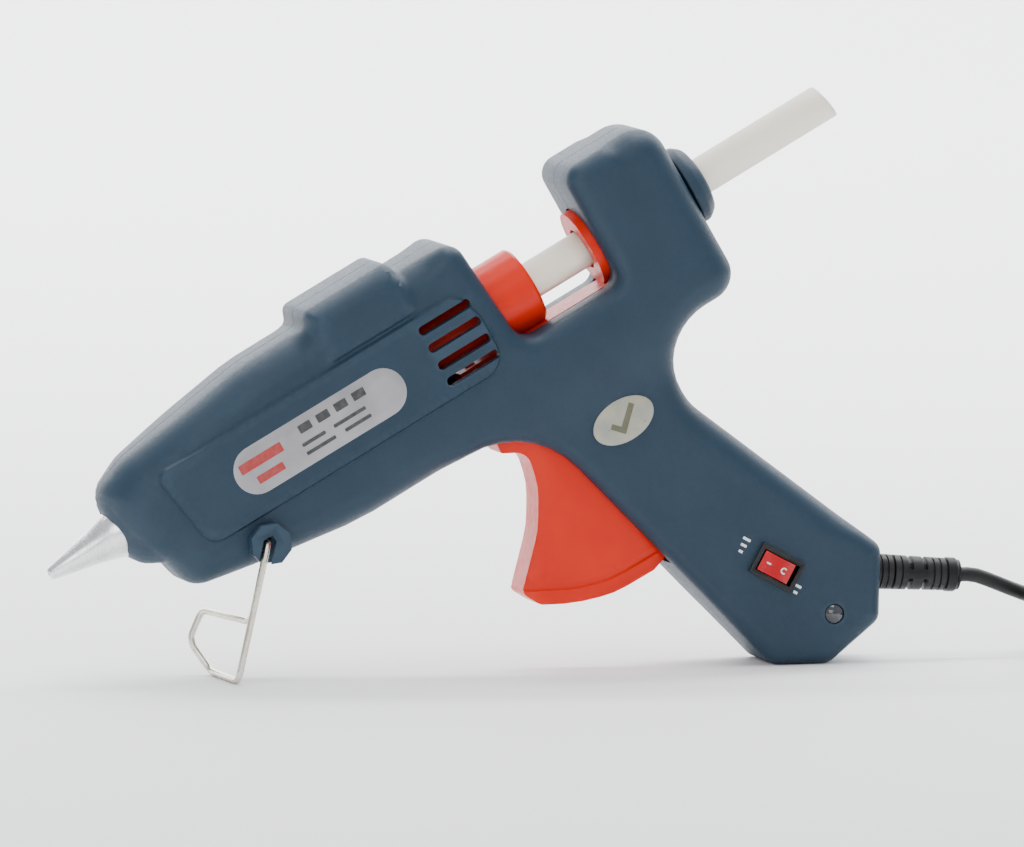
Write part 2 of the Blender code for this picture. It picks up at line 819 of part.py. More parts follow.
def return_spring(gun):
    turns, low, high, radius = 5, 118.2, 136.4, 3.0
    points = []
    for k in range(turns * 10 + 1):
        angle = math.radians(36 * k)
        u = low + (high - low) * k / (turns * 10)
        points.append((u, radius * math.cos(angle), -18.0 + radius * math.sin(angle)))
    wire("return_spring", points, 0.4, steel(), gun)


def rear_collar(gun):
    """The domed guide that the stick enters, held in the rear wall by its groove."""
    profile = (
        (7.4, 226.9),
        (10.4, 225.4),
        (12.2, 222.4),
        (12.2, 220.7),
        (9.0, 220.7),
        (9.0, 217.2),
        (11.5, 217.2),
        (11.5, 215.0),
        (6.2, 215.0),
        (6.2, 226.0),
    )
    turned("rear_collar", profile, housing_blue(), gun)


def wire_stand(gun):
    """A single bent wire that turns on its own end in the left shell's boss."""
    holder = empty("stand_axis", STAND_U, STAND_W, gun, TILT)
    pivot = world(STAND_U, STAND_Y, STAND_W)
    floor = WIRE_R - pivot.z  # the wire's centre, lying on the table
    foot = -9.2
    leg = Vector((foot, 0.0, floor)).normalized()
    behind = Vector((0.62, 2.3, 0.0))
    points = [
        (0.0, 5.2, 0.0),
        (0.0, 0.0, 0.0),
        (foot, 0.0, floor),
        (foot - 1.6, 27.0, floor),
        (foot - 7.4, 30.5, floor + 9.0),
        (foot - 3.6, 30.0, floor + 18.0),
        tuple(leg * 24.5 + behind),
        tuple(leg * 11.5 + behind),
    ]
    path = [point + Vector((0.0, STAND_Y, 0.0)) for point in bent(points, 3.0)]
    nickel = material("nickel_wire", (0.62, 0.58, 0.48), 0.3, 1.0)
    wire("wire_stand", path, WIRE_R, nickel, holder)


def power_switch(seat, gun):
    """Switch body in its cut-out, the rocker on its axis, and two blade terminals."""
    face = -HANDLE_HALF
    body = box("switch_body", (-4.1, face - 0.8, -6.6), (4.1, face + 11.0, 6.6), black_plastic(), seat)
    bezel = box("switch_bezel", (-4.8, face - 1.5, -7.3), (4.8, face - GAP, 7.3), None, seat)
    joined(body, bezel)
    cut(body, box("cut_rocker", (-3.4, face - 4, -6.0), (3.4, face + 7.0, 6.0), None, seat))
    axis = face + 1.5
    rocker_axis = empty("rocker_axis", 0.0, 0.0, seat)
    rocker_axis.location = metres(0.0, axis, 0.0)
    rocker_axis.rotation_euler = (ROCKER_REST, 0.0, 0.0)
    outline = ((-4.9, -3.9), (0.0, -2.8), (4.9, -3.9), (4.7, 2.0), (0.0, 3.6), (-4.7, 2.0))
    red = material("rocker_red", (0.62, 0.01, 0.03), 0.3)
    rocker = flat("switch_rocker", outline, -3.1, 3.1, red, rocker_axis)
    turn_outline_to_depth(rocker)
    brass = material("brass", (0.75, 0.55, 0.22), 0.35, 1.0)
    for k, z in enumerate((-4.2, 0.9)):
        box(f"switch_terminal_{k + 1}", (-2.4, face + 11.3, z), (2.4, face + 17.5, z + 0.8), brass, seat)


def turn_outline_to_depth(rocker):
    """Lay the rocker's outline along the switch (z) and its depth (y), its width along x."""
    rocker.rotation_euler = (0.0, 0.0, 0.0)
    along = Matrix(((0, 0, 1, 0), (0, 1, 0, 0), (1, 0, 0, 0), (0, 0, 0, 1)))
    rocker.data.transform(along)
    rocker.data.flip_normals()


def lamp(gun):
    face = -HANDLE_HALF
    lens = (
        (0.0, 1.2),
        (1.8, 0.8),
        (2.6, 0.0),
        (LAMP_R, -0.2),
        (LAMP_R, -3.0),
        (3.6, -3.0),
        (3.6, -4.0),
        (0.0, -4.0),
    )
    smoke = material("smoked_lens", (0.10, 0.10, 0.12), 0.15)
    turned("lamp_lens", lens, smoke, gun, (LAMP_U, face, LAMP_W), (math.pi / 2, 0, 0), 20)
    glow = material("lamp_glass", (0.8, 0.35, 0.2), 0.2)
    rod("lamp_bulb", (LAMP_U, face + 4.4, LAMP_W), (LAMP_U, face + 10.4, LAMP_W), 2.4, glow, gun, 14)


def labels(gun):
    silver = material("label_silver", (0.62, 0.62, 0.62), 0.3, 0.4)
    corners = ((58.2, 5.7, 7.3), (116.4, 5.7, 7.3), (116.4, -9.0, 7.3), (58.2, -9.0, 7.3))
    flat("name_plate", filleted(corners), -BARREL_HALF - 0.9, -BARREL_HALF - GAP, silver, gun)
    oval = [
        (168.4 + 10.0 * math.cos(math.tau * k / 28), -47.3 + 6.3 * math.sin(math.tau * k / 28))
        for k in range(28)
    ]
    foil = material("label_foil", (0.75, 0.74, 0.66), 0.4)
    flat("check_sticker", oval, -HANDLE_HALF - 0.6, -HANDLE_HALF - GAP, foil, gun)


def cord_clamp(gun):
    """The bar that grips the cord behind the relief, and its two screws."""
    u, w = relief_point(-10.5)
    seat = empty("clamp_seat", u, w, gun, RELIEF_TURN)
    bar = box("cord_clamp", (-2.4, 2.6, -8.2), (2.4, 4.4, 8.2), black_plastic(), seat)
    for k, across in enumerate((-5.6, 5.6)):
        cut(bar, rod(f"cut_clamp_{k}", (0, 0, across), (0, 6, across), 1.3, None, seat, 12))
        profile = ((0.0, 6.1), (1.4, 6.0), (2.0, 5.2), (2.0, 4.7), (1.0, 4.7), (1.0, -4.2), (0.0, -5.0))
        turned(f"clamp_screw_{k + 1}", profile, steel(), seat, (0, 0, across), (-math.pi / 2, 0, 0), 12)


def strain_relief(gun):
    """Ribbed tapered boot, solid because the cord is moulded into it."""
    seat = empty("relief_seat", RELIEF_U, RELIEF_W, gun, RELIEF_TURN)
    grooves = 3
    profile = [(CORD_R + 1.2, RELIEF_LENGTH), (4.7, RELIEF_LENGTH - 0.8)]
    for k in range(grooves):
        radius = 4.8 + 0.13 * k
        top = RELIEF_LENGTH - 7.5 - 5.2 * k
        profile += [(radius, top + 0.9), (radius - 1.6, top + 0.5), (radius - 1.6, top - 0.5), (radius, top - 0.9)]
    profile += [(5.3, 1.0), (5.3, 0.6), (4.3, 0.6), (4.3, -3.1), (6.4, -3.1), (6.4, -5.2), (0.0, -5.2)]
    profile.insert(0, (0.0, RELIEF_LENGTH))
    turned("strain_relief", profile, black_plastic(), seat, steps=24)


def inner_wiring(gun):
    """The cord's tail behind the clamp and the leads from it to the switch and the heater."""
    black = black_plastic()
    tail = [relief_point(along) for along in (-5.6, -10.5, -15.5)]
    wire("inner_cord", [(u, 0.0, w) for u, w in tail], 1.9, black, gun)
    end_u, end_w = relief_point(-16.2)
    live = material("lead_brown", (0.20, 0.07, 0.03), 0.5)
    neutral = material("lead_blue", (0.02, 0.12, 0.45), 0.5)
    feed = [(end_u, -1.1, end_w), (end_u - 4, -0.4, end_w + 3), (190.4, 5.0, -113.0), (187.0, 6.5, -104.0)]
    wire("lead_feed", through(feed, 5.0), 0.8, live, gun)
    heater_live = [
        (184.6, 5.6, -100.0),
        (187.5, 5.5, -84.0),
        (186.4, 6.6, -66.0),
        (183.6, 7.5, -50.0),
        (174.0, 8.6, -33.0),
        (158.0, 9.2, -24.6),
        (136.0, 9.2, -24.6),
        (120.0, 8.6, -27.6),
        (110.0, 8.0, -27.6),
        (100.0, 3.0, -25.5),
        (92.5, -1.6, -17.0),
        (87.5, -2.4, -12.4),
        (83.9, -2.4, -12.2),
    ]
    wire("lead_heater_live", through(heater_live, 6.5), 0.8, live, gun)
    heater_neutral = [
        (end_u, 1.1, end_w),
        (end_u - 4, 2.2, end_w + 4),
        (199.4, 8.5, -108.0),
        (193.0, 8.8, -86.0),
        (188.0, 10.2, -66.0),
        (184.6, 10.2, -50.0),
        (174.0, 11.6, -30.6),
        (158.0, 12.0, -21.6),
        (136.0, 12.0, -21.6),
        (120.0, 11.8, -27.4),
        (110.0, 11.8, -27.8),
        (100.0, 8.0, -25.5),
        (92.5, 3.6, -17.0),
        (87.5, 2.4, -12.4),
        (83.9, 2.4, -12.2),
    ]
    wire("lead_heater_neutral", through(heater_neutral, 6.5), 0.8, neutral, gun)


def coil_point(turn):
    """Centre of the cord after a number of turns, clockwise from the coil's +Y side."""
    angle = math.pi / 2 - math.tau * turn
    lay = math.radians(50.0) - math.tau * turn / 8
    reach = COIL_R + WINDING_R * math.cos(lay)
    return (
        COIL_X + reach * math.cos(angle),
        COIL_Y + reach * math.sin(angle),
        COIL_LIFT + WINDING_R * math.sin(lay),
    )


def tail_point(angle):
    """Centre of the tail, rising over the coil from its last turn to the plug, by degrees."""
    last = coil_point(TURNS)
    share = angle / TAIL_ANGLE
    ease = share * share * (3 - 2 * share)
    reach = (last[0] - COIL_X) * (1 - share) + COIL_R * share
    turn = math.radians(-angle)
    height = last[2] + (PLUG_LIFT - last[2]) * ease
    return COIL_X + reach * math.cos(turn), COIL_Y + reach * math.sin(turn), height


def level(name, outline, z_low, z_high, paint, x=0.0, y=0.0, edge=0.0):
    """A piece extruded upwards from an outline on the table."""
    half = (z_high - z_low) / 2
    made = flat(name, outline, -half, half, paint, None, edge=edge)
    made.rotation_euler = (0.0, 0.0, 0.0)
    made.location = metres(x, y, z_low + half)
    return made


def power_cord():
    """The free cord to its coil, the coil's outer shape, the tail and the plug lying on it."""
    black = black_plastic()
    start = world(*lift(relief_point(RELIEF_LENGTH + GAP)))
    straight = world(*lift(relief_point(RELIEF_LENGTH + GAP + 6.0)))
    first = coil_point(0.0)
    route = [
        tuple(start),
        tuple(straight),
        (start.x + 17.5, AXIS_Y + 0.7, start.z - 4.9),
        (start.x + 29.0, AXIS_Y + 7.4, start.z - 8.9),
        (COIL_X - 10.0, first[1] + 0.5, first[2] + 0.5),
        (COIL_X - 1.0, first[1], first[2]),
    ]
    wire("power_cord", through(route, 5.0), CORD_R, black, None)
    outer = WINDING_R + CORD_R
    ring = [
        (COIL_R + outer * math.sin(math.radians(30 * k)), COIL_LIFT + outer * math.cos(math.radians(30 * k)))
        for k in range(12)
    ]
    coil = turned("cord_coil", ring, black, None, (COIL_X, COIL_Y, 0.0), (0, 0, 0), 28)
    way_in = box(
        "cut_coil_in",
        (COIL_X - 30.0, COIL_Y + 23.6, 9.6),
        (COIL_X - 0.6, COIL_Y + 36.0, 18.0),
        None,
        None,
    )
    band = [
        (reach * math.cos(math.radians(angle)), reach * math.sin(math.radians(angle)))
        for reach, angles in ((28.9, (5, -8, -21, -34, -47, -58)), (22.2, (-58, -47, -34, -21, -8, 5)))
        for angle in angles
    ]
    way_out = level("cut_coil_out", band, 11.2, 18.0, None, COIL_X, COIL_Y)
    cut(coil, way_in)
    cut(coil, way_out)
    tail = [tail_point(angle) for angle in range(2, TAIL_ANGLE + 1, 9)]
    tail.append((COIL_X + 1.1, COIL_Y - COIL_R, PLUG_LIFT))
    wire("cord_tail", tail, CORD_R, black, None)
    plug_x, plug_y = COIL_X - 23.2, COIL_Y - COIL_R
    corners = ((0.0, 7.5, 2.0), (24.0, 7.5, 5.0), (24.0, -7.5, 5.0), (0.0, -7.5, 2.0))
    low, high = PLUG_LIFT - 6.5, PLUG_LIFT + 6.5
    level("plug_body", filleted(corners), low, high, black, plug_x, plug_y, 1.2)
    brass = material("brass", (0.75, 0.55, 0.22), 0.35, 1.0)
    for k, y in enumerate((-3.2, 3.2)):
        low = (plug_x - 16.0, plug_y + y - 0.75, PLUG_LIFT - 3.1)
        high = (plug_x - GAP, plug_y + y + 0.75, PLUG_LIFT + 3.1)
        box(f"plug_blade_{k + 1}", low, high, brass, None)


def main():
    start_scene()
    gun = empty("gun_frame", 0.0, 0.0)
    gun.location = metres(AXIS_X, AXIS_Y, AXIS_Z)
    gun.rotation_euler = (0.0, -TILT, 0.0)
    seat = housing(gun)
    shell_screws(gun)
    glue_path(gun)
    glue_stick(gun)
    carriage(gun)
    gripper(gun)
    trigger(gun)
    return_spring(gun)
    rear_collar(gun)
    wire_stand(gun)
    power_switch(seat, gun)
    lamp(gun)
    labels(gun)
    cord_clamp(gun)
    strain_relief(gun)
    inner_wiring(gun)
    power_cord()


main()
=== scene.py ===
"""Glue gun on its wire stand: the detailed visual model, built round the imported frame.

Shapes are worked out in the gun's own plane, in millimetres: u runs back along the barrel from
the nozzle's tip, y across from left to right, w up from the barrel's axis.
"""

import json
import math

import bmesh
import bpy
import numpy as np
from mathutils import Matrix, Vector
from mathutils.geometry import delaunay_2d_cdt

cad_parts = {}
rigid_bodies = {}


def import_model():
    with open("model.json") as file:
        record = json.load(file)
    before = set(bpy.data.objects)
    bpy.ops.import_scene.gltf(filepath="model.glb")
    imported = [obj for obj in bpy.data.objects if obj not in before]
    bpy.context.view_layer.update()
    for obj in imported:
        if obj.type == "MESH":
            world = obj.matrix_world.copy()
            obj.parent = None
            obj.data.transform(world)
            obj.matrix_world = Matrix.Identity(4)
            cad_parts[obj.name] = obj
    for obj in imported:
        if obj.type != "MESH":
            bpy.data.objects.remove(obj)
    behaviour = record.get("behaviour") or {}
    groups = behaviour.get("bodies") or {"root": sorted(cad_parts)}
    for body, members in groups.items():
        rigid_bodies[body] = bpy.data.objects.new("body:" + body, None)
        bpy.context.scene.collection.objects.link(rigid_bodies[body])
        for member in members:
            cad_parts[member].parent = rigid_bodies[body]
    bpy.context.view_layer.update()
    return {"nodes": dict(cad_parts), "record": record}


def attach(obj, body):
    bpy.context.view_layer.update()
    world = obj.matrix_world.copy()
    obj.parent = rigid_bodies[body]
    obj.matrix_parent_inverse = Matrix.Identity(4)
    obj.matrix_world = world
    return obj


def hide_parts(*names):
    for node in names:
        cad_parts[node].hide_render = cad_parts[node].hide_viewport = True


MM = 0.001
TILT = math.radians(29.7)
TIP = Vector((-124.40, 2.3, 32.011)) * MM
GUN = Matrix.Translation(TIP) @ Matrix.Rotation(-TILT, 4, "Y")
TABLE = Matrix.Identity(4)

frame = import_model()


# ---------------------------------------------------------------- camera, floor and light


def make_camera():
    azimuth, elevation, distance = math.radians(15.0), math.radians(5.5), 4.0
    right = Vector((math.cos(azimuth), -math.sin(azimuth), 0.0))
    ahead = Vector(
        (
            math.sin(azimuth) * math.cos(elevation),
            math.cos(azimuth) * math.cos(elevation),
            -math.sin(elevation),
        )
    )
    up = right.cross(ahead)
    centre = Vector((-0.1235, 0.0023, 0.0304)) + right * 0.1342 + up * 0.0456
    centre += ahead * (0.010 - centre.dot(ahead))
    data = bpy.data.cameras.new("camera")
    data.sensor_width = 36.0
    data.lens = 36.0 * distance / 0.303
    data.clip_end = 50.0
    camera = bpy.data.objects.new("camera", data)
    bpy.context.scene.collection.objects.link(camera)
    turn = Matrix((right, up, -ahead)).transposed().to_4x4()
    camera.matrix_world = Matrix.Translation(centre - ahead * distance) @ turn
    bpy.context.scene.camera = camera


def area_light(name, place, aim, size, power, colour=(1.0, 1.0, 1.0)):
    data = bpy.data.lights.new(name, "AREA")
    data.shape = "RECTANGLE"
    data.size, data.size_y = size
    data.energy = power
    data.color = colour
    light = bpy.data.objects.new(name, data)
    light.location = place
    light.rotation_euler = (Vector(aim) - Vector(place)).to_track_quat("-Z", "Y").to_euler()
    bpy.context.scene.collection.objects.link(light)


def make_studio():
    profile = [(-8.0, 0.0), (2.2, 0.0)]
    profile += [
        (2.2 + 1.2 * math.sin(math.radians(a)), 1.2 - 1.2 * math.cos(math.radians(a)))
        for a in range(6, 91, 6)
    ]
    profile.append((3.4, 7.0))
    points = [(x, y, z) for y, z in profile for x in (-9.0, 9.0)]
    faces = [(2 * k, 2 * k + 1, 2 * k + 3, 2 * k + 2) for k in range(len(profile) - 1)]
    mesh = bpy.data.meshes.new("floor")
    mesh.from_pydata(points, [], faces)
    mesh.shade_smooth()
    paint = bpy.data.materials.new("pale_floor")
    paint.use_nodes = True
    shader = paint.node_tree.nodes["Principled BSDF"]
    shader.inputs["Base Color"].default_value = (0.88, 0.885, 0.89, 1.0)
    shader.inputs["Roughness"].default_value = 0.75
    mesh.materials.append(paint)
    floor = bpy.data.objects.new("floor", mesh)
    bpy.context.scene.collection.objects.link(floor)
    world = bpy.data.worlds.new("soft_light")
    world.use_nodes = True
    world.node_tree.nodes["Background"].inputs["Color"].default_value = (0.93, 0.96, 1.0, 1.0)
    world.node_tree.nodes["Background"].inputs["Strength"].default_value = 0.75
    bpy.context.scene.world = world
    middle = (0.0, 0.0, 0.07)
    area_light("top_light", (0.1, -0.05, 1.5), middle, (1.3, 0.9), 19.0)
    area_light("rear_light", (1.0, 0.55, 0.75), middle, (0.7, 0.9), 7.5)
    area_light("front_light", (-0.75, -1.5, 0.75), middle, (1.1, 0.9), 9.5)
    area_light("wall_light", (0.3, 1.3, 2.6), (0.5, 3.4, 0.9), (4.0, 1.2), 380.0)


# ---------------------------------------------------------------- materials


class Paint:
    """A material's node tree, built up from its object coordinates in metres."""

    def __init__(self, name, colour, roughness, metallic=0.0):
        self.made = bpy.data.materials.new(name)
        self.made.use_nodes = True
        self.tree = self.made.node_tree
        self.shader = self.tree.nodes["Principled BSDF"]
        self.colour = colour
        self.set("Base Color", (*colour, 1.0))
        self.set("Roughness", roughness)
        self.set("Metallic", metallic)
        self.normal = None
        self.place = self.tree.nodes.new("ShaderNodeTexCoord").outputs["Object"]

    def set(self, socket, value):
        self.shader.inputs[socket].default_value = value
        return self

    def link(self, source, target):
        self.tree.links.new(source, target)

    def noise(self, scale, detail=3.0, stretch=None):
        place = self.place
        if stretch:
            mapping = self.tree.nodes.new("ShaderNodeMapping")
            mapping.vector_type = "TEXTURE"
            mapping.inputs["Rotation"].default_value = (0.0, -TILT, 0.0)
            mapping.inputs["Scale"].default_value = [1.0 / value for value in stretch]
            self.link(place, mapping.inputs["Vector"])
            place = mapping.outputs["Vector"]
        node = self.tree.nodes.new("ShaderNodeTexNoise")
        node.inputs["Scale"].default_value = scale
        node.inputs["Detail"].default_value = detail
        self.link(place, node.inputs["Vector"])
        return node.outputs["Fac"]

    def spread(self, value, low, high, from_low=0.3, from_high=0.7):
        node = self.tree.nodes.new("ShaderNodeMapRange")
        node.inputs["From Min"].default_value = from_low
        node.inputs["From Max"].default_value = from_high
        node.inputs["To Min"].default_value = low
        node.inputs["To Max"].default_value = high
        self.link(value, node.inputs["Value"])
        return node.outputs["Result"]

    def blend(self, factor, first, second):
        node = self.tree.nodes.new("ShaderNodeMix")
        node.data_type = "RGBA"
        self.link(factor, node.inputs["Factor"])
        for socket, colour in ((node.inputs["A"], first), (node.inputs["B"], second)):
            if isinstance(colour, tuple):
                socket.default_value = (*colour, 1.0)
            else:
                self.link(colour, socket)
        return node.outputs["Result"]

    def mottle(self, other, scale, wear=None):
        """Vary the colour softly towards another and, with wear, towards that one on edges."""
        result = self.blend(self.spread(self.noise(scale), 0.0, 1.0), self.colour, other)
        if wear:
            shape = self.tree.nodes.new("ShaderNodeNewGeometry").outputs["Pointiness"]
            edge = self.spread(shape, 0.0, 0.55, 0.51, 0.58)
            result = self.blend(edge, result, wear)
        self.link(result, self.shader.inputs["Base Color"])
        return self

    def rough(self, low, high, scale, stretch=None):
        value = self.spread(self.noise(scale, 4.0, stretch), low, high)
        self.link(value, self.shader.inputs["Roughness"])
        return self

    def bump(self, scale, strength, depth=0.0002, detail=3.0, stretch=None):
        node = self.tree.nodes.new("ShaderNodeBump")
        node.inputs["Strength"].default_value = strength
        node.inputs["Distance"].default_value = depth
        self.link(self.noise(scale, detail, stretch), node.inputs["Height"])
        if self.normal:
            self.link(self.normal, node.inputs["Normal"])
        self.normal = node.outputs["Normal"]
        self.link(self.normal, self.shader.inputs["Normal"])
        return self


def make_paints():
    """Every material, by the record's slot, and the printed marks."""
    paints = {}

    def add(slot, colour, roughness, metallic=0.0):
        paints[slot] = Paint(slot + "_finish", colour, roughness, metallic)
        return paints[slot]

    blue = add("housing_blue", (0.0110, 0.0285, 0.0500), 0.5)
    blue.mottle((0.0130, 0.0330, 0.0570), 60.0, (0.030, 0.060, 0.092)).rough(0.42, 0.56, 900.0)
    blue.set("Specular IOR Level", 0.32)
    blue.bump(2300.0, 0.32, 0.00016, 2.0).bump(130.0, 0.05, 0.0004)
    orange = add("signal_orange", (0.66, 0.016, 0.0008), 0.32)
    orange.mottle((0.60, 0.013, 0.0006), 70.0).rough(0.28, 0.42, 400.0)
    orange.set("Specular IOR Level", 0.22)
    orange.bump(900.0, 0.05, 0.0001).bump(90.0, 0.06, 0.0004)
    orange.set("Subsurface Weight", 0.06).set("Subsurface Scale", 0.001)
    black = add("black_plastic", (0.006, 0.006, 0.007), 0.42)
    black.mottle((0.010, 0.010, 0.011), 150.0, (0.03, 0.03, 0.032)).rough(0.34, 0.52, 600.0)
    black.set("Specular IOR Level", 0.22)
    black.bump(1800.0, 0.18, 0.0001)
    rubber = add("cord_rubber", (0.007, 0.007, 0.008), 0.5)
    rubber.mottle((0.013, 0.013, 0.014), 90.0).rough(0.42, 0.6, 300.0)
    rubber.set("Specular IOR Level", 0.3)
    rubber.bump(700.0, 0.12, 0.0001, 2.0)
    steel = add("steel", (0.56, 0.56, 0.57), 0.32, 1.0)
    steel.mottle((0.44, 0.44, 0.46), 260.0).rough(0.22, 0.45, 500.0, (1.0, 1.0, 6.0))
    steel.bump(1400.0, 0.10, 0.00005)
    alu = add("aluminium", (0.93, 0.93, 0.94), 0.28, 1.0)
    alu.mottle((0.78, 0.77, 0.77), 170.0).rough(0.19, 0.36, 420.0, (5.0, 1.0, 1.0))
    alu.bump(900.0, 0.16, 0.00006, 4.0, (6.0, 1.0, 1.0)).bump(240.0, 0.10, 0.0002)
    ceramic = add("ceramic", (0.75, 0.72, 0.66), 0.55)
    ceramic.mottle((0.66, 0.62, 0.55), 300.0).rough(0.45, 0.65, 300.0).bump(900.0, 0.2)
    phenolic = add("phenolic", (0.20, 0.10, 0.05), 0.55)
    phenolic.mottle((0.26, 0.14, 0.07), 400.0).rough(0.45, 0.65, 300.0)
    phenolic.bump(700.0, 0.25, 0.0002, 3.0, (1.0, 6.0, 1.0))
    silicone = add("silicone", (0.50, 0.10, 0.05), 0.5)
    silicone.mottle((0.42, 0.08, 0.04), 200.0).rough(0.42, 0.6, 300.0).bump(500.0, 0.1)
    wax = add("glue_wax", (0.94, 0.91, 0.82), 0.34)
    wax.mottle((0.90, 0.85, 0.72), 45.0).rough(0.28, 0.42, 220.0, (0.3, 1.0, 1.0))
    wax.bump(90.0, 0.06, 0.0003, 1.0, (0.25, 1.0, 1.0))
    wax.set("Transmission Weight", 0.35).set("IOR", 1.45)
    wax.set("Subsurface Weight", 0.5).set("Subsurface Scale", 0.004)
    nickel = add("nickel_wire", (0.80, 0.77, 0.68), 0.24, 1.0)
    nickel.mottle((0.66, 0.61, 0.50), 240.0).rough(0.16, 0.34, 350.0).bump(1200.0, 0.08, 0.00005)
    red = add("rocker_red", (0.48, 0.004, 0.010), 0.22)
    red.mottle((0.40, 0.003, 0.008), 200.0).rough(0.16, 0.3, 400.0)
    red.set("Specular IOR Level", 0.3)
    red.bump(900.0, 0.03).set("Subsurface Weight", 0.1).set("Subsurface Scale", 0.001)
    lens = add("smoked_lens", (0.020, 0.022, 0.030), 0.10)
    lens.mottle((0.032, 0.034, 0.044), 200.0).rough(0.06, 0.16, 400.0).bump(500.0, 0.03)
    lens.set("Coat Weight", 0.5)
    glass = add("lamp_glass", (0.80, 0.35, 0.20), 0.2)
    glass.mottle((0.7, 0.28, 0.16), 300.0).rough(0.12, 0.28, 400.0).bump(500.0, 0.05)
    silver = add("label_silver", (0.36, 0.35, 0.365), 0.36, 0.35)
    silver.mottle((0.27, 0.265, 0.28), 75.0).rough(0.28, 0.46, 260.0)
    silver.bump(260.0, 0.10, 0.0002).bump(2600.0, 0.10, 0.00005)
    foil = add("label_foil", (0.38, 0.36, 0.29), 0.38, 0.25)
    foil.mottle((0.27, 0.29, 0.25), 170.0).rough(0.26, 0.5, 300.0).bump(420.0, 0.18, 0.0002)
    brass = add("brass", (0.75, 0.55, 0.22), 0.3, 1.0)
    brass.mottle((0.62, 0.44, 0.18), 300.0).rough(0.22, 0.42, 500.0).bump(1200.0, 0.08, 0.00005)
    brown = add("lead_brown", (0.20, 0.07, 0.03), 0.5)
    brown.mottle((0.15, 0.05, 0.02), 200.0).rough(0.4, 0.55, 300.0).bump(600.0, 0.08)
    lead = add("lead_blue", (0.02, 0.12, 0.45), 0.5)
    lead.mottle((0.015, 0.09, 0.36), 200.0).rough(0.4, 0.55, 300.0).bump(600.0, 0.08)
    for name, colour in (
        ("mark_red", (0.36, 0.016, 0.014)),
        ("mark_dark", (0.022, 0.022, 0.025)),
        ("mark_white", (0.78, 0.79, 0.80)),
        ("mark_olive", (0.10, 0.095, 0.05)),
    ):
        ink = add(name, colour, 0.5)
        worn = tuple(0.82 * value + 0.04 for value in colour)
        ink.mottle(worn, 600.0).rough(0.42, 0.6, 500.0).bump(1500.0, 0.05, 0.00005)
    return paints


# ---------------------------------------------------------------- outlines in the gun's plane


def filleted(corners, step=11.0):
    """Points of a closed outline whose corners (u, w, radius) are rounded with arcs."""
    points = []
    for i, (u, w, radius) in enumerate(corners):
        here = Vector((u, w))
        back = (Vector(corners[i - 1][:2]) - here).normalized()
        on = (Vector(corners[(i + 1) % len(corners)][:2]) - here).normalized()
        half = back.angle(on) / 2
        if radius <= 0.0 or half > math.radians(89.9):
            points.append(here)
            continue
        centre = here + (back + on).normalized() * radius / math.sin(half)
        first = here + back * radius / math.tan(half) - centre
        turn = math.pi - 2 * half
        if back.cross(on) > 0:
            turn = -turn
        count = max(1, math.ceil(abs(math.degrees(turn)) / step))
        for k in range(count + 1):
            points.append(centre + Matrix.Rotation(turn * k / count, 2) @ first)
    return [tuple(point) for point in points]


def inset(corners, depth):
    """The corners moved inwards by depth, for an outline given clockwise."""
    moved = []
    for i, (u, w, radius) in enumerate(corners):
        here = Vector((u, w))
        before = (here - Vector(corners[i - 1][:2])).normalized()
        after = (Vector(corners[(i + 1) % len(corners)][:2]) - here).normalized()
        left = Vector((before.y, -before.x))
        right = Vector((after.y, -after.x))
        bisector = (left + right).normalized()
        place = here + bisector * depth / bisector.dot(left)
        convex = before.cross(after) < 0
        if radius > 0:
            radius = max(radius - depth, 0.5) if convex else radius + depth
        moved.append((place.x, place.y, radius))
    return moved


def divided(points, spacing, closed=True):
    """The outline with no side longer than spacing and no two points nearly together."""
    fine = []
    ends = points[1:] + points[:1] if closed else points[1:]
    for a, b in zip(points, ends):
        a, b = Vector(a), Vector(b)
        count = max(1, math.ceil((b - a).length / spacing))
        for k in range(count):
            point = a.lerp(b, k / count)
            if not fine or (point - fine[-1]).length > 0.3:
                fine.append(point)
    if closed and (fine[0] - fine[-1]).length < 0.3:
        fine.pop()
    if not closed:
        fine.append(Vector(points[-1]))
    return np.array([tuple(point) for point in fine])


BATCH = 2000


def signed_distance(points, outline):
    """Distance of each point inside a closed outline from its edge, negative outside it."""
    points = np.asarray(points, float)
    gaps = np.empty(len(points))
    a = outline[None]
    side = np.roll(outline, -1, 0)[None] - a
    length = np.maximum((side**2).sum(-1), 1e-12)
    for start in range(0, len(points), BATCH):
        part = points[start : start + BATCH, None]
        along = np.clip(((part - a) * side).sum(-1) / length, 0.0, 1.0)
        gap = np.linalg.norm(part - a - side * along[..., None], axis=-1).min(1)
        high = (a[..., 1] > part[..., 1]) != (np.roll(a, -1, 1)[..., 1] > part[..., 1])
        rise = np.where(side[..., 1] == 0, 1e-12, side[..., 1])
        reach = side[..., 0] * (part[..., 1] - a[..., 1]) / rise + a[..., 0]
        inside = (high & (part[..., 0] < reach)).sum(1) % 2 == 1
        gaps[start : start + BATCH] = np.where(inside, gap, -gap)
    return gaps


def fade(value, low, high):
    """0 at low, 1 at high, smooth between. low may be the larger."""
    t = np.clip((np.asarray(value, float) - low) / (high - low), 0.0, 1.0)
    return t * t * (3 - 2 * t)


def inward(outline):
    """Unit vectors pointing into a clockwise outline, one at each point."""
    ahead = np.roll(outline, -1, 0) - np.roll(outline, 1, 0)
    normal = np.stack([ahead[:, 1], -ahead[:, 0]], 1)
    return normal / np.linalg.norm(normal, axis=1)[:, None]


def around(count, first=0):
    """The edges of a closed outline whose points are numbered from first."""
    return [(first + k, first + (k + 1) % count) for k in range(count)]


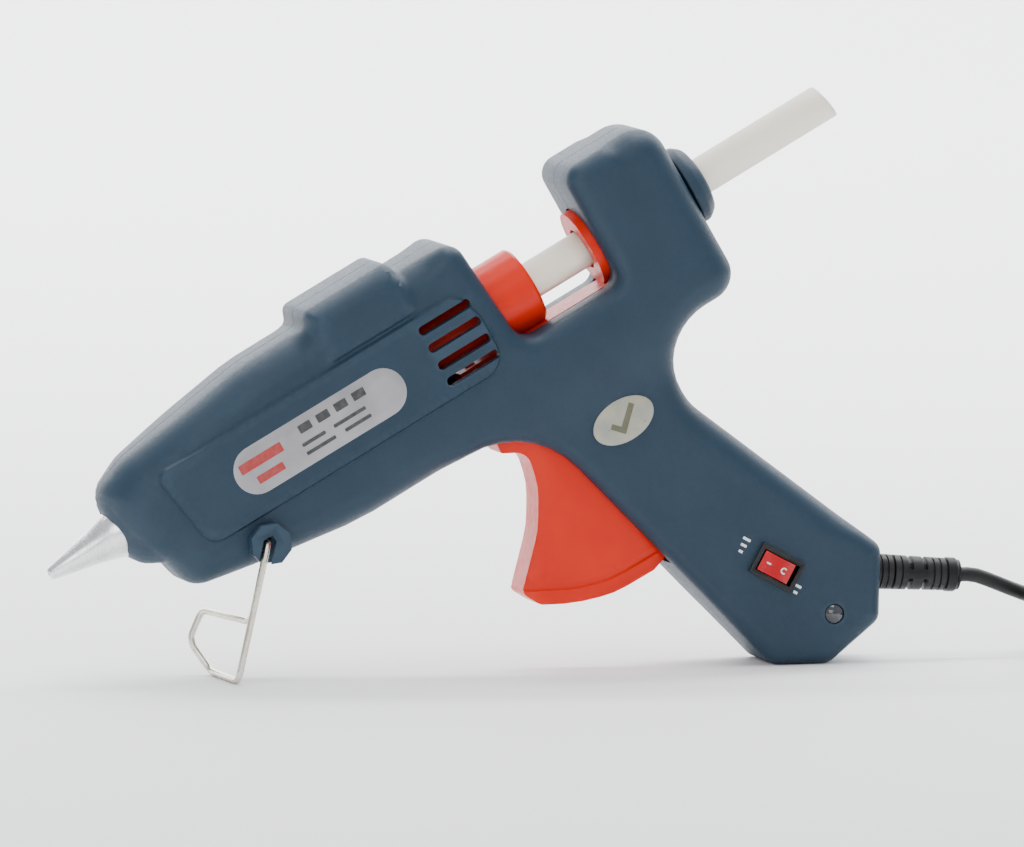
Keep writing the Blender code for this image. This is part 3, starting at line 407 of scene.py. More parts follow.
def triangulated(points, edges):
    made = delaunay_2d_cdt([Vector(point) for point in points], edges, [], 0, 1e-4)
    points = np.array([tuple(point) for point in made[0]])
    return points, np.array([face for face in made[2] if len(face) == 3])


def plan(outline, radius, grid, loops=(), arcs=6):
    """Plane triangles over an outline, closer together over the rounding at its edge.

    Each loop is (points, closed), a line that the triangles' sides have to follow.
    """
    edges = around(len(outline))
    stack = [outline]
    total = len(outline)
    for loop, closed in loops:
        count = len(loop)
        edges += around(count, total) if closed else around(count, total)[:-1]
        stack.append(loop)
        total += count
    edge_radius = radius(outline)
    normal = inward(outline)
    free = []
    for k in range(1, arcs + 1):
        depth = edge_radius * (1 - math.cos(math.pi / 2 * k / arcs))
        ring = outline + normal * depth[:, None]
        free.append(ring[signed_distance(ring, outline) > depth * 0.985 - 0.01])
    low, high = outline.min(0), outline.max(0)
    rows = np.arange(low[1], high[1], grid * 0.87)
    inner = np.array(
        [
            (u + (grid / 2 if row % 2 else 0.0), w)
            for row, w in enumerate(rows)
            for u in np.arange(low[0], high[0], grid)
        ]
    )
    free.append(inner[signed_distance(inner, outline) > radius(inner) + grid * 0.4])
    free = np.concatenate(free)
    if loops:
        fixed = np.concatenate(stack[1:])
        keep = np.ones(len(free), bool)
        for start in range(0, len(free), BATCH):
            part = free[start : start + BATCH, None]
            gap = np.linalg.norm(part - fixed[None], axis=-1).min(1)
            keep[start : start + BATCH] = gap > 0.45
        free = free[keep]
    points, faces = triangulated(np.concatenate([*stack, free]), edges)
    return points, faces[signed_distance(points[faces].mean(1), outline) > 0]


# ---------------------------------------------------------------- meshes


def finish_mesh(name, work, paints, angle=38.0):
    """A mesh in metres from a bmesh in millimetres, closed faces pointing outwards."""
    bmesh.ops.remove_doubles(work, verts=work.verts, dist=1e-4)
    loose = [vert for vert in work.verts if not vert.link_faces]
    bmesh.ops.delete(work, geom=loose, context="VERTS")
    bmesh.ops.recalc_face_normals(work, faces=work.faces)
    if work.calc_volume(signed=True) < 0:
        bmesh.ops.reverse_faces(work, faces=work.faces)
    bmesh.ops.scale(work, vec=(MM, MM, MM), verts=work.verts)
    mesh = bpy.data.meshes.new(name)
    work.to_mesh(mesh)
    work.free()
    for paint in paints:
        mesh.materials.append(paint.made)
    mesh.shade_smooth()
    mesh.set_sharp_from_angle(angle=math.radians(angle))
    return mesh


def settle(obj, place=GUN):
    """Put an object's place into its mesh, so that its box lies along the frame's axes."""
    obj.data.transform(place)
    obj.matrix_world = TABLE


def carry(obj, body, slot, *nodes):
    """Let an object move with a body, in the place of some CAD nodes."""
    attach(obj, body)
    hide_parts(*nodes)


def piece(name, mesh, body=None, slot=None, place=GUN, replaced=()):
    made = bpy.data.objects.new(name, mesh)
    bpy.context.scene.collection.objects.link(made)
    made.matrix_world = place
    if body:
        settle(made, place)
        carry(made, body, slot, *replaced)
    return made


def relief(work, points, faces, heights, base):
    """Add a closed block: a surface (u, height, w) over plane triangles, with a flat base."""
    top = [work.verts.new((u, y, w)) for (u, w), y in zip(points, heights)]
    made = [work.faces.new([top[k] for k in face]) for face in faces]
    rim = [edge for face in made for edge in face.edges if len(edge.link_faces) == 1]
    rim = list(dict.fromkeys(rim))
    down = bmesh.ops.extrude_edge_only(work, edges=rim)["geom"]
    for vert in (item for item in down if isinstance(item, bmesh.types.BMVert)):
        vert.co.y = base


def rounded(height, radius, depth):
    """Height of a surface whose edge is rounded by a quarter circle, depth in from it."""
    depth = np.clip(depth, 0.0, radius)
    return height - radius + np.sqrt(np.maximum(radius**2 - (radius - depth) ** 2, 0.0))


def slab(work, corners, y_low, y_high, edge, spacing=1.5, grid=3.0, dish=None, arcs=4):
    """Add a flat piece with both edges rounded. dish(points) lowers both faces."""
    outline = divided(filleted(corners), spacing) if len(corners[0]) == 3 else corners
    outline = np.array(outline)

    def radius(points):
        return np.full(len(points), edge)

    loops = dish[1] if dish else ()
    points, faces = plan(outline, radius, grid, loops, arcs)
    half = (y_high - y_low) / 2
    middle = (y_high + y_low) / 2
    heights = rounded(half, edge, signed_distance(points, outline))
    if dish:
        heights = heights - dish[0](points)
    relief(work, points, faces, middle + heights, middle)
    relief(work, points, faces, middle - heights, middle)


def loft(work, rings):
    """Join rings of vertices one after another. A ring of one vertex is a tip."""
    steps = max(len(ring) for ring in rings)
    for a, b in zip(rings, rings[1:]):
        for k in range(steps):
            after = (k + 1) % steps
            corners = [a[k % len(a)], a[after % len(a)], b[after % len(b)], b[k % len(b)]]
            corners = list(dict.fromkeys(corners))
            if len(corners) > 2:
                work.faces.new(corners)


def lathe(work, profile, steps=56, shift=None):
    """Add a solid turned on the barrel's axis, from (radius, u) points of a closed section."""
    turn = Matrix.Rotation(math.pi / 2, 3, "Y")
    rings = []
    for radius, height in profile:
        ring = []
        for k in range(1 if radius == 0.0 else steps):
            angle = math.tau * k / steps
            local = Vector((radius * math.cos(angle), radius * math.sin(angle), height))
            if shift:
                local.z += shift(local)
            ring.append(work.verts.new(turn @ local))
        rings.append(ring)
    if len(rings[0]) > 1 and len(rings[-1]) > 1:
        rings.append(rings[0])
    loft(work, rings)


def tube(name, points, radius, paint, sides=6):
    """A round tube along points in millimetres."""
    curve = bpy.data.curves.new(name, "CURVE")
    curve.dimensions = "3D"
    curve.bevel_depth = radius * MM
    curve.bevel_resolution = sides
    curve.use_fill_caps = True
    spline = curve.splines.new("POLY")
    spline.points.add(len(points) - 1)
    for place, point in zip(spline.points, points):
        place.co = (*(Vector(point) * MM), 1.0)
    spline.use_smooth = True
    curve.materials.append(paint.made)
    made = bpy.data.objects.new(name, curve)
    bpy.context.scene.collection.objects.link(made)
    return made


def block(low, high, place=None):
    """A cutter or union body: a box between two corners (u, y, w) in millimetres."""
    work = bmesh.new()
    bmesh.ops.create_cube(work, size=1.0)
    size = [b - a for a, b in zip(low, high)]
    bmesh.ops.scale(work, vec=size, verts=work.verts)
    middle = Vector([(a + b) / 2 for a, b in zip(low, high)])
    bmesh.ops.translate(work, vec=middle, verts=work.verts)
    if place:
        bmesh.ops.transform(work, matrix=place, verts=work.verts)
    return work


def bar(start, end, radius, sides=28):
    """A cutter or union body: a round bar between two points in millimetres."""
    work = bmesh.new()
    along = Vector(end) - Vector(start)
    bmesh.ops.create_cone(
        work,
        cap_ends=True,
        segments=sides,
        radius1=radius,
        radius2=radius,
        depth=along.length,
    )
    matrix = along.to_track_quat("Z", "Y").to_matrix().to_4x4()
    matrix.translation = (Vector(start) + Vector(end)) / 2
    bmesh.ops.transform(work, matrix=matrix, verts=work.verts)
    return work


def extrude(work, outline, y_low, y_high, number=0):
    """Add a plain extrusion of an outline in the gun's plane, with a material's number."""
    low = [work.verts.new((u, y_low, w)) for u, w in outline]
    high = [work.verts.new((u, y_high, w)) for u, w in outline]
    made = [work.faces.new(low), work.faces.new(high)]
    for k, after in around(len(outline)):
        made.append(work.faces.new((low[k], low[after], high[after], high[k])))
    for face in made:
        face.material_index = number


def prism(outline, y_low, y_high):
    """A cutter: a plain extrusion of an outline in the gun's plane."""
    work = bmesh.new()
    extrude(work, outline, y_low, y_high)
    return work


def combine(obj, tools, operation):
    """Boolean an object with several bodies at once, then drop the bodies."""
    group = bpy.data.collections.new("tools")
    bpy.context.scene.collection.children.link(group)
    for work in tools:
        tool = bpy.data.objects.new("tool", finish_mesh("tool", work, ()))
        tool.matrix_world = obj.matrix_world
        group.objects.link(tool)
    change = obj.modifiers.new("change", "BOOLEAN")
    change.operation = operation
    change.operand_type = "COLLECTION"
    change.collection = group
    change.solver = "EXACT"
    bpy.context.view_layer.update()
    graph = bpy.context.evaluated_depsgraph_get()
    old = obj.data
    obj.data = bpy.data.meshes.new_from_object(obj.evaluated_get(graph))
    obj.modifiers.clear()
    name = old.name
    bpy.data.meshes.remove(old)
    obj.data.name = name
    for tool in list(group.objects):
        data = tool.data
        bpy.data.objects.remove(tool)
        bpy.data.meshes.remove(data)
    bpy.data.collections.remove(group)


def sharpen(obj, angle=38.0):
    obj.data.shade_smooth()
    obj.data.set_sharp_from_angle(angle=math.radians(angle))


def soften(node):
    """Shade a CAD solid smoothly between its hard edges, leaving its mesh as it is."""
    node.data.shade_smooth()
    node.modifiers.new("weld", "WELD").merge_threshold = 1e-6
    node.modifiers.new("edges", "EDGE_SPLIT").split_angle = math.radians(35.0)


# ---------------------------------------------------------------- power cord

CORD_R = 2.2
RELIEF = (214.1, -129.1)
RELIEF_TURN = math.radians(33.6)
RELIEF_LENGTH = 27.0
COIL_X, COIL_Y, COIL_LIFT = 206.0, -16.0, 8.1
COIL_R, WINDING_R, TURNS = 25.0, 5.85, 7.25
TAIL_ANGLE, PLUG_LIFT = 83, 22.95


def relief_point(along):
    u = RELIEF[0] + along * math.cos(RELIEF_TURN)
    w = RELIEF[1] - along * math.sin(RELIEF_TURN)
    return GUN @ (Vector((u, 0.0, w)) * MM) / MM


def coil_point(turn):
    """Centre of the cord after a number of turns, clockwise from the coil's +Y side."""
    angle = math.pi / 2 - math.tau * turn
    lay = math.radians(50.0) - math.tau * turn / 8
    reach = COIL_R + WINDING_R * math.cos(lay)
    return Vector(
        (
            COIL_X + reach * math.cos(angle),
            COIL_Y + reach * math.sin(angle),
            COIL_LIFT + WINDING_R * math.sin(lay),
        )
    )


def tail_point(angle):
    """Centre of the tail, rising over the coil from its last turn to the plug, by degrees."""
    last = coil_point(TURNS)
    share = angle / TAIL_ANGLE
    ease = share * share * (3 - 2 * share)
    reach = (last.x - COIL_X) * (1 - share) + COIL_R * share
    turn = math.radians(-angle)
    height = last.z + (PLUG_LIFT - last.z) * ease
    return Vector((COIL_X + reach * math.cos(turn), COIL_Y + reach * math.sin(turn), height))


def through(points, spacing):
    """Points of a smooth curve through the given ones, about spacing apart."""
    fine = []
    padded = [points[0], *points, points[-1]]
    for a, b, c, d in zip(padded, padded[1:], padded[2:], padded[3:]):
        a, b, c, d = (Vector(point) for point in (a, b, c, d))
        for k in range(20):
            t = k / 20
            bend = (a * 2 - b * 5 + c * 4 - d) * t**2 + (b * 3 - a - c * 3 + d) * t**3
            fine.append((b * 2 + (c - a) * t + bend) / 2)
    fine.append(Vector(points[-1]))
    steps = [0.0]
    for p, q in zip(fine, fine[1:]):
        steps.append(steps[-1] + (q - p).length)
    count = max(2, round(steps[-1] / spacing))
    places = np.linspace(0.0, steps[-1], count + 1)
    columns = [np.interp(places, steps, [point[k] for point in fine]) for k in range(3)]
    return [Vector(point) for point in zip(*columns)]


def make_cord(paints):
    start = relief_point(RELIEF_LENGTH + 0.3)
    straight = relief_point(RELIEF_LENGTH + 6.3)
    first = coil_point(0.0)
    axis_y = TIP.y / MM
    lead = [
        start,
        straight,
        Vector((start.x + 17.5, axis_y + 0.7, start.z - 4.9)),
        Vector((start.x + 29.0, axis_y + 7.4, start.z - 8.9)),
        Vector((COIL_X - 10.0, first.y + 0.5, first.z + 0.5)),
        first,
    ]
    turns = [coil_point(k / 36) for k in range(1, round(TURNS * 36) + 1)]
    tail = [tail_point(angle) for angle in np.linspace(8.0, TAIL_ANGLE, 10)]
    tail.append(Vector((COIL_X + 1.1, COIL_Y - COIL_R, PLUG_LIFT)))
    path = through(lead, 3.0) + turns + tail
    length = sum((b - a).length for a, b in zip(path, path[1:]))
    print(f"cord length {length:.1f} mm")
    cord = tube("power_cord_sheath", path, CORD_R, paints["cord_rubber"])
    carry(cord, "housing", "cord_rubber", "power_cord", "cord_coil", "cord_tail")
    return cord, start * MM, length * MM


def make_plug(paints):
    """The moulded two-pin plug, with grip ribs on its sides. Its blades are CAD nodes."""
    x, y = COIL_X - 23.2, COIL_Y - COIL_R
    work = bmesh.new()
    sides = ((0.0, 7.5, 2.0), (14.0, 6.6, 6.0), (24.0, 4.6, 2.2))
    corners = [*sides, *((u, -v, r) for u, v, r in reversed(sides))]
    outline = divided(filleted(corners), 1.0)

    def radius(points):
        return np.full(len(points), 3.0)

    points, faces = plan(outline, radius, 1.6, (), 5)
    depth = signed_distance(points, outline)
    heights = rounded(6.5 - 1.9 * fade(points[:, 0], 10.0, 24.0), 3.0, depth)
    ribs = 0.45 * np.maximum(0.0, np.cos(points[:, 0] * math.tau / 2.4))
    heights -= ribs * fade(depth, 2.4, 3.2) * fade(points[:, 0], 6.0, 8.0)
    relief(work, points, faces, heights, 0.0)
    relief(work, points, faces, -heights, 0.0)
    lay_flat = Matrix(((1, 0, 0, x), (0, 0, 1, y), (0, 1, 0, PLUG_LIFT), (0, 0, 0, 1)))
    bmesh.ops.transform(work, matrix=lay_flat, verts=work.verts)
    mesh = finish_mesh("plug_grip", work, (paints["black_plastic"],))
    return piece("plug_grip", mesh, "housing", "black_plastic", TABLE, ("plug_body",))


# ---------------------------------------------------------------- housing

SHELL_CORNERS = (
    (21.8, 13.6, 8.0),
    (34.5, 18.9, 12.0),
    (78.0, 25.3, 40.0),
    (99.2, 25.4, 2.0),
    (100.9, 30.1, 3.0),
    (130.0, 30.1, 3.0),
    (131.4, 25.4, 2.0),
    (150.6, 25.5, 5.6),
    (153.5, -11.7, 6.5),
    (188.0, -11.7, 4.5),
    (188.0, 25.8, 5.6),
    (220.0, 25.8, 9.5),
    (220.2, -31.8, 8.5),
    (189.3, -31.7, 18.0),
    (189.6, -54.7, 18.0),
    (218.6, -121.6, 4.5),
    (207.3, -140.4, 4.6),
    (187.5, -143.8, 6.0),
    (172.2, -135.07, 6.0),
    (144.8, -32.15, 28.7),
    (86.0, -32.4, 60.0),
    (32.9, -24.2, 7.5),
    (30.3, -13.9, 1.0),
    (22.0, -9.8, 8.0),
)
PANEL_CORNERS = (
    (38.0, 12.7, 4.0),
    (143.0, 12.7, 7.0),
    (146.2, 2.0, 14.0),
    (146.0, -14.6, 7.5),
    (42.4, -14.8, 6.0),
)
CREASE = ((25.5, 16.6), (23.4, 12.0), (24.0, 6.0), (24.7, 1.0), (26.7, -4.5), (29.6, -12.2))
HOOD = ((99.6, 13.4, 2.0), (130.6, 13.4, 2.0), (130.6, 40.0, 0.0), (99.6, 40.0, 0.0))
SPLIT = 0.15
WALL = 2.3
PANEL_SLOPE = 0.7
VENT_ROWS = (7.9, 2.0, -3.9, -9.4)
BARREL_HALF, HANDLE_HALF = 18.0, 15.0
SCREWS = (
    (45.0, -18.0, BARREL_HALF),
    (78.0, 15.8, BARREL_HALF),
    (110.0, -21.5, BARREL_HALF),
    (135.5, 17.4, BARREL_HALF),
    (207.0, 17.0, BARREL_HALF),
    (206.0, -21.0, BARREL_HALF),
    (178.0, -58.0, HANDLE_HALF),
    (177.5, -126.0, HANDLE_HALF),
)
STAND_U, STAND_W, STAND_Y, WIRE_R = 57.7, -21.4, -20.2, 1.05
SWITCH_U, SWITCH_W = 187.0, -109.6
SWITCH_TURN = math.radians(-32.0)
SEAT = Matrix.Translation((SWITCH_U, 0.0, SWITCH_W)) @ Matrix.Rotation(SWITCH_TURN, 4, "Y")
LAMP_U, LAMP_W, LAMP_R = 195.5, -131.0, 2.8
CARRIAGE_R = 12.0


def shell_radius(points):
    """How round the side's edge is, by place."""
    u, w = points[:, 0], points[:, 1]
    middle = 166.0 + (-32.0 - w) * 0.262
    radius = np.full(len(points), 8.0)
    radius += (10.0 - radius) * fade(u, 60.0, 34.0)
    front = fade(u - middle, 3.0, -3.0) * fade(w, -24.0, -30.0) * fade(u, 112.0, 124.0)
    radius += (4.0 - radius) * front
    window = fade(u, 138.0, 148.0) * fade(u, 206.0, 202.0) * fade(w, -19.0, -15.0)
    radius += (5.0 - radius) * window
    radius += (5.0 - radius) * fade(w, -106.0, -118.0)
    radius += 2.5 * fade(w, 4.0, 10.0) * fade(u, 99.0, 95.0)
    hood = fade(u, 98.0, 100.0) * fade(u, 132.0, 130.0) * fade(w, 18.0, 24.0)
    return radius + (6.5 - radius) * hood


def side_height(points):
    u, w = points[:, 0], points[:, 1]
    height = HANDLE_HALF + (BARREL_HALF - HANDLE_HALF) * fade(w, -46.0, -24.0)
    return 12.8 + (height - 12.8) * (1 - (1 - np.clip((u - 21.0) / 36.0, 0.0, 1.0)) ** 2)


def beside(line, shifts):
    """Lines running beside an open line, each shifted to its left."""
    ahead = np.gradient(line, axis=0)
    normal = np.stack([-ahead[:, 1], ahead[:, 0]], 1)
    normal /= np.linalg.norm(normal, axis=1)[:, None]
    return [line + normal * shift for shift in shifts]


def outer_face(work, outline, side):
    """The side seen: rounded at its edge, with the panel, the hood's rise and the nose's step."""
    panel = divided(filleted(PANEL_CORNERS), 1.6)
    panel_in = divided(filleted(inset(PANEL_CORNERS, PANEL_SLOPE)), 1.6)
    hood = divided(filleted(HOOD), 1.6)
    crease = divided([Vector(point) for point in CREASE], 1.2, closed=False)
    nose = np.array([(0.0, 40.0), *((u + 0.45, w) for u, w in CREASE), (0.0, -40.0)])
    loops = [(panel, True), (panel_in, True)]
    loops += [(line, False) for line in beside(crease, (0.45, -0.45))]
    for low in (13.4, 14.3):
        loops.append((divided([(100.4, low), (129.8, low)], 1.6, closed=False), False))
    points, faces = plan(outline, shell_radius, 2.3, loops, 6)
    depth = signed_distance(points, outline)
    heights = rounded(side_height(points), shell_radius(points), depth)
    in_panel = fade(signed_distance(points, panel), 0.0, PANEL_SLOPE)
    if side < 0:
        in_hood = fade(signed_distance(points, hood), 0.0, 0.9) * fade(depth, 0.0, 3.0)
        heights += 1.1 * in_panel + 0.9 * in_hood
    else:
        heights -= 0.6 * in_panel
    heights -= 1.1 * fade(signed_distance(points, nose), -0.45, 0.45) * fade(depth, 0.0, 2.0)
    relief(work, points, faces, side * heights, side * SPLIT)


def inner_face(work, inner, side):
    """The hollow, a wall's thickness inside the outer face."""

    def radius(points):
        return shell_radius(points) * 0.6

    points, faces = plan(inner, radius, 4.5, (), 3)
    depth = signed_distance(points, inner)
    heights = rounded(side_height(points) - WALL, radius(points), depth)
    relief(work, points, faces, side * heights, side * SPLIT)


def parting_face(work, outline, inner, side):
    """The flat lip between the two faces, where the halves meet."""
    edges = around(len(outline)) + around(len(inner), len(outline))
    points, faces = triangulated(np.concatenate([outline, inner]), edges)
    middles = points[faces].mean(1)
    between = (signed_distance(middles, outline) > 0) & (signed_distance(middles, inner) < 0)
    lip = [work.verts.new((u, side * SPLIT, w)) for u, w in points]
    for face in faces[between]:
        work.faces.new([lip[k] for k in face])


def make_shell(name, side, paints):
    """One half of the housing, -1 for the left half that is seen and 1 for the right half."""
    outline = divided(filleted(SHELL_CORNERS), 1.6)
    inner = divided(filleted(inset(SHELL_CORNERS, WALL)), 2.6)
    work = bmesh.new()
    outer_face(work, outline, side)
    inner_face(work, inner, side)
    parting_face(work, outline, inner, side)
    visual = name + "_moulding"
    shell = piece(visual, finish_mesh(visual, work, (paints["housing_blue"],)))
    combine(shell, shell_posts(side), "UNION")
    combine(shell, shell_openings(side), "DIFFERENCE")
    sharpen(shell, 34.0)
    settle(shell)
    carry(shell, "housing", "housing_blue", name)


def shell_posts(side):
    posts = []
    for u, w, half in SCREWS:
        reach = min(half - 1.9, 14.4 if u < 50.0 else half)
        posts.append(bar((u, side * SPLIT, w), (u, side * reach, w), 3.6, 20))
    if side < 0:
        pad = bar((STAND_U, -22.6, STAND_W - 0.8), (STAND_U, -16.8, STAND_W - 0.8), 6.3, 8)
        posts.append(pad)
    return posts


def slot_outline(u_low, u_high, w, height):
    half = height / 2
    corners = (
        (u_low, w + half, half * 0.9),
        (u_high, w + half, half * 0.9),
        (u_high, w - half, half * 0.9),
        (u_low, w - half, half * 0.9),
    )
    return filleted(corners, 20)


def shell_openings(side):
    """Everything cut from one shell: bores, slots, vents, screw holes, switch and lamp."""
    relief_axis = Vector((math.cos(RELIEF_TURN), 0.0, -math.sin(RELIEF_TURN)))
    base = Vector((RELIEF[0], 0.0, RELIEF[1]))
    tools = [
        bar((12, 0, 0), (30, 0, 0), 7.75, 48),
        bar((138, 0, 0), (156, 0, 0), CARRIAGE_R + 0.5, 48),
        bar((184, 0, 0), (193, 0, 0), CARRIAGE_R + 0.5, 48),
        bar((213, 0, 0), (224, 0, 0), 9.3, 48),
        block((147, -7.6, -17), (191, 7.6, -9)),
        bar(base - relief_axis * 8, base + relief_axis * 6, 4.75, 36),
        prism(TRIGGER_SLOT, -TRIGGER_HALF - 0.7, TRIGGER_HALF + 0.7),
    ]
    for w in VENT_ROWS:
        low, high = sorted((side * 12.0, side * 24.0))
        tools.append(prism(slot_outline(127.3, 145.2, w, 2.9), low, high))
    for u, w, half in SCREWS:
        if side > 0:
            floor = half - 2.1
            tools.append(bar((u, -1, w), (u, floor + 0.5, w), 1.6, 16))
            tools.append(bar((u, floor, w), (u, half + 2, w), 3.2, 32))
        else:
            tools.append(bar((u, -10.5, w), (u, 1, w), 1.45, 16))
    if side < 0:
        tools.append(bar((STAND_U, -21.5, STAND_W), (STAND_U, -18.4, STAND_W), 2.6, 20))
        sweep = ((55.4, -20.2), (60.2, -18.6), (68, -22.5), (68, -32), (44, -32), (48, -29.5))
        tools.append(prism(sweep, -21.6, -18.5))
        slit = ((56.2, -20.0), (59.2, -20.0), (59.4, -22.2), (50.5, -32.0), (47.6, -29.4))
        tools.append(prism(slit, -24, -20.3))
        tools.append(bar((STAND_U, -19, STAND_W), (STAND_U, -10, STAND_W), WIRE_R + 0.3, 20))
        tools.append(block((-4.4, -19, -6.9), (4.4, -9, 6.9), SEAT))
        tools.append(bar((LAMP_U, -19, LAMP_W), (LAMP_U, -9, LAMP_W), LAMP_R + 0.2, 32))
    return tools


# ---------------------------------------------------------------- the other pieces


def make_nozzle(paints):
    flare = [(7.45, 22.4), (6.75, 20.2), (6.1, 18.2), (5.55, 16.4), (5.1, 14.8)]
    cone = [(3.5, 7.2), (1.95, 0.2), (1.75, -0.25), (1.5, -0.45)]
    inside = [(0.95, -0.45), (0.9, 0.3), (0.9, 4.0), (3.0, 12.0), (3.0, 38.0)]
    profile = [(5.0, 38.0), (5.0, 28.0), (7.3, 27.6), (7.45, 27.3), *flare, *cone, *inside]
    work = bmesh.new()
    lathe(work, profile, steps=72)
    mesh = finish_mesh("nozzle_turned", work, (paints["aluminium"],), 30.0)
    piece("nozzle_turned", mesh, "housing", "aluminium", replaced=("nozzle",))


def make_stick(paints):
    """The glue stick, its rear end cut a little askew."""
    reach, front, back = 5.6, 48.0, 271.2
    profile = [(0.0, back), (reach - 0.5, back), (reach - 0.12, back - 0.12), (reach, back - 0.5)]
    profile += [(reach, front + 1.0 + (back - front - 2.0) * (1 - k / 12)) for k in range(1, 13)]
    profile += [(reach - 1.5, front), (0.0, front)]

    def askew(local):
        return local.x * 0.2 if local.z > back - 1.5 else 0.0

    work = bmesh.new()
    lathe(work, profile, steps=56, shift=askew)
    mesh = finish_mesh("glue_stick_wax", work, (paints["glue_wax"],), 30.0)
    piece("glue_stick_wax", mesh, "glue_stick", "glue_wax", replaced=("glue_stick",))


def make_collar(paints):
    corners = (
        (7.2, 226.9, 0.9),
        (10.2, 226.0, 3.0),
        (12.2, 223.4, 2.0),
        (12.2, 220.6, 0.6),
        (9.0, 220.6, 0.2),
        (9.0, 217.2, 0.2),
        (11.5, 217.2, 0.3),
        (11.5, 215.0, 0.3),
        (6.2, 215.0, 0.3),
        (6.2, 225.4, 0.8),
    )
    work = bmesh.new()
    lathe(work, filleted(corners, 15.0), steps=72)
    mesh = finish_mesh("rear_collar_moulding", work, (paints["housing_blue"],), 40.0)
    piece("rear_collar_moulding", mesh, "housing", "housing_blue", replaced=("rear_collar",))


TRIGGER_CORNERS = (
    (133.5, -33.9, 0.8),
    (133.2, -38.5, 0.8),
    (140.2, -42.2, 5.0),
    (138.0, -52.8, 20.0),
    (131.5, -64.0, 30.0),
    (118.0, -77.8, 2.2),
    (121.2, -83.6, 3.0),
    (130.0, -88.4, 30.0),
    (142.0, -92.3, 30.0),
    (156.0, -92.6, 2.0),
    (161.5, -90.8, 1.0),
    (163.0, -84.0, 2.0),
    (163.0, -50.0, 8.0),
    (158.5, -33.5, 5.0),
    (146.0, -30.5, 5.0),
    (136.0, -28.4, 1.0),
)
TRIGGER_FIELD = (
    (100.0, -68.0, 0.0),
    (123.2, -79.7, 0.0),
    (131.6, -84.4, 20.0),
    (142.7, -88.0, 30.0),
    (175.0, -88.6, 0.0),
    (175.0, -10.0, 0.0),
    (100.0, -10.0, 0.0),
)
PIVOT = (151.2, -38.6)
TRIGGER_HALF = 9.5
TRIGGER_SLOT = (
    (132.6, -28.0),
    (150.0, -28.0),
    (174.0, -88.4),
    (167.0, -91.6),
    (160.0, -93.4),
    (145.0, -94.2),
    (118.0, -50.0),
    (132.6, -38.0),
)


def make_trigger(paints):
    """The trigger blade, its sides sunk inside a raised border, with its forked arm."""
    field = divided(filleted(TRIGGER_FIELD), 1.4)
    outline = divided(filleted(TRIGGER_CORNERS), 1.4)
    lip = field[signed_distance(field, outline) > 1.2]
    lip = lip[np.argsort(lip[:, 0])]
    loops = [(line, False) for line in beside(lip, (0.0, 0.55, 1.1, 1.7))]

    def dish(points):
        depth = signed_distance(points, field)
        groove = fade(depth, 0.0, 0.55) * fade(depth, 1.7, 1.1)
        return 0.45 * fade(depth, 0.0, 0.6) + 0.35 * groove

    work = bmesh.new()
    slab(work, outline, -TRIGGER_HALF, TRIGGER_HALF, 2.2, dish=(dish, loops), grid=2.6, arcs=5)
    mesh = finish_mesh("trigger_moulding", work, (paints["signal_orange"],))
    made = piece("trigger_moulding", mesh)
    pivot = Matrix.Translation((PIVOT[0], 0.0, PIVOT[1]))
    lean = pivot @ Matrix.Rotation(math.radians(10.0), 4, "Y")
    combine(made, [block((-4.3, -3.0, -6.0), (4.3, 3.0, 23.2), lean)], "UNION")
    pin = bar((PIVOT[0], -20, PIVOT[1]), (PIVOT[0], 20, PIVOT[1]), 1.75, 28)
    combine(made, [block((-1.75, -5, 19.4), (1.75, 5, 26), lean), pin], "DIFFERENCE")
    sharpen(made)
    settle(made)
    carry(made, "trigger", "signal_orange", "trigger")


def bent(points, radius, count=6):
    """A path whose inner points are rounded with arcs of the given radius."""
    path = [Vector(points[0])]
    for before, here, after in zip(points, points[1:], points[2:]):
        here = Vector(here)
        back = Vector(before) - here
        on = Vector(after) - here
        reach = min(radius, back.length * 0.45, on.length * 0.45)
        start = here + back.normalized() * reach
        end = here + on.normalized() * reach
        for k in range(count + 1):
            t = k / count
            path.append(start * (1 - t) ** 2 + here * 2 * t * (1 - t) + end * t**2)
    path.append(Vector(points[-1]))
    return path


def make_stand(paints):
    """One nickel-plated wire from the boss down to its foot and back up, bent by hand."""
    pivot = GUN @ (Vector((STAND_U, STAND_Y, STAND_W)) * MM) / MM
    floor = WIRE_R - pivot.z
    foot = -9.2
    leg = Vector((foot, 0.0, floor)).normalized()
    behind = Vector((0.62, 2.3, 0.0))
    route = [
        (0.0, 5.2, 0.0),
        (0.0, 0.0, 0.0),
        (foot, 0.0, floor),
        (foot - 1.6, 27.0, floor),
        (foot - 7.4, 30.5, floor + 9.0),
        (foot - 3.6, 30.0, floor + 18.0),
        tuple(leg * 24.5 + behind),
        tuple(leg * 11.5 + behind),
    ]
    path = bent(route, 3.0)
    made = tube("wire_stand_bent", path, WIRE_R, paints["nickel_wire"], 5)
    made.matrix_world = Matrix.Translation(pivot * MM)
    carry(made, "stand", "nickel_wire", "wire_stand")


RELIEF_STEPS = 64
RELIEF_BASE = 0.35
RELIEF_SLOTS = (
    (2.0, 2.4, 0.5, False),
    (3.9, 4.3, 0.45, False),
    (5.9, 6.5, 1.3, False),
    (8.3, 8.7, 0.45, False),
    (10.6, 12.0, 2.2, True),
    (15.2, 16.5, 2.2, True),
    (18.2, 18.7, 0.5, False),
    (20.3, 20.8, 0.5, False),
    (22.4, 22.9, 0.6, False),
)


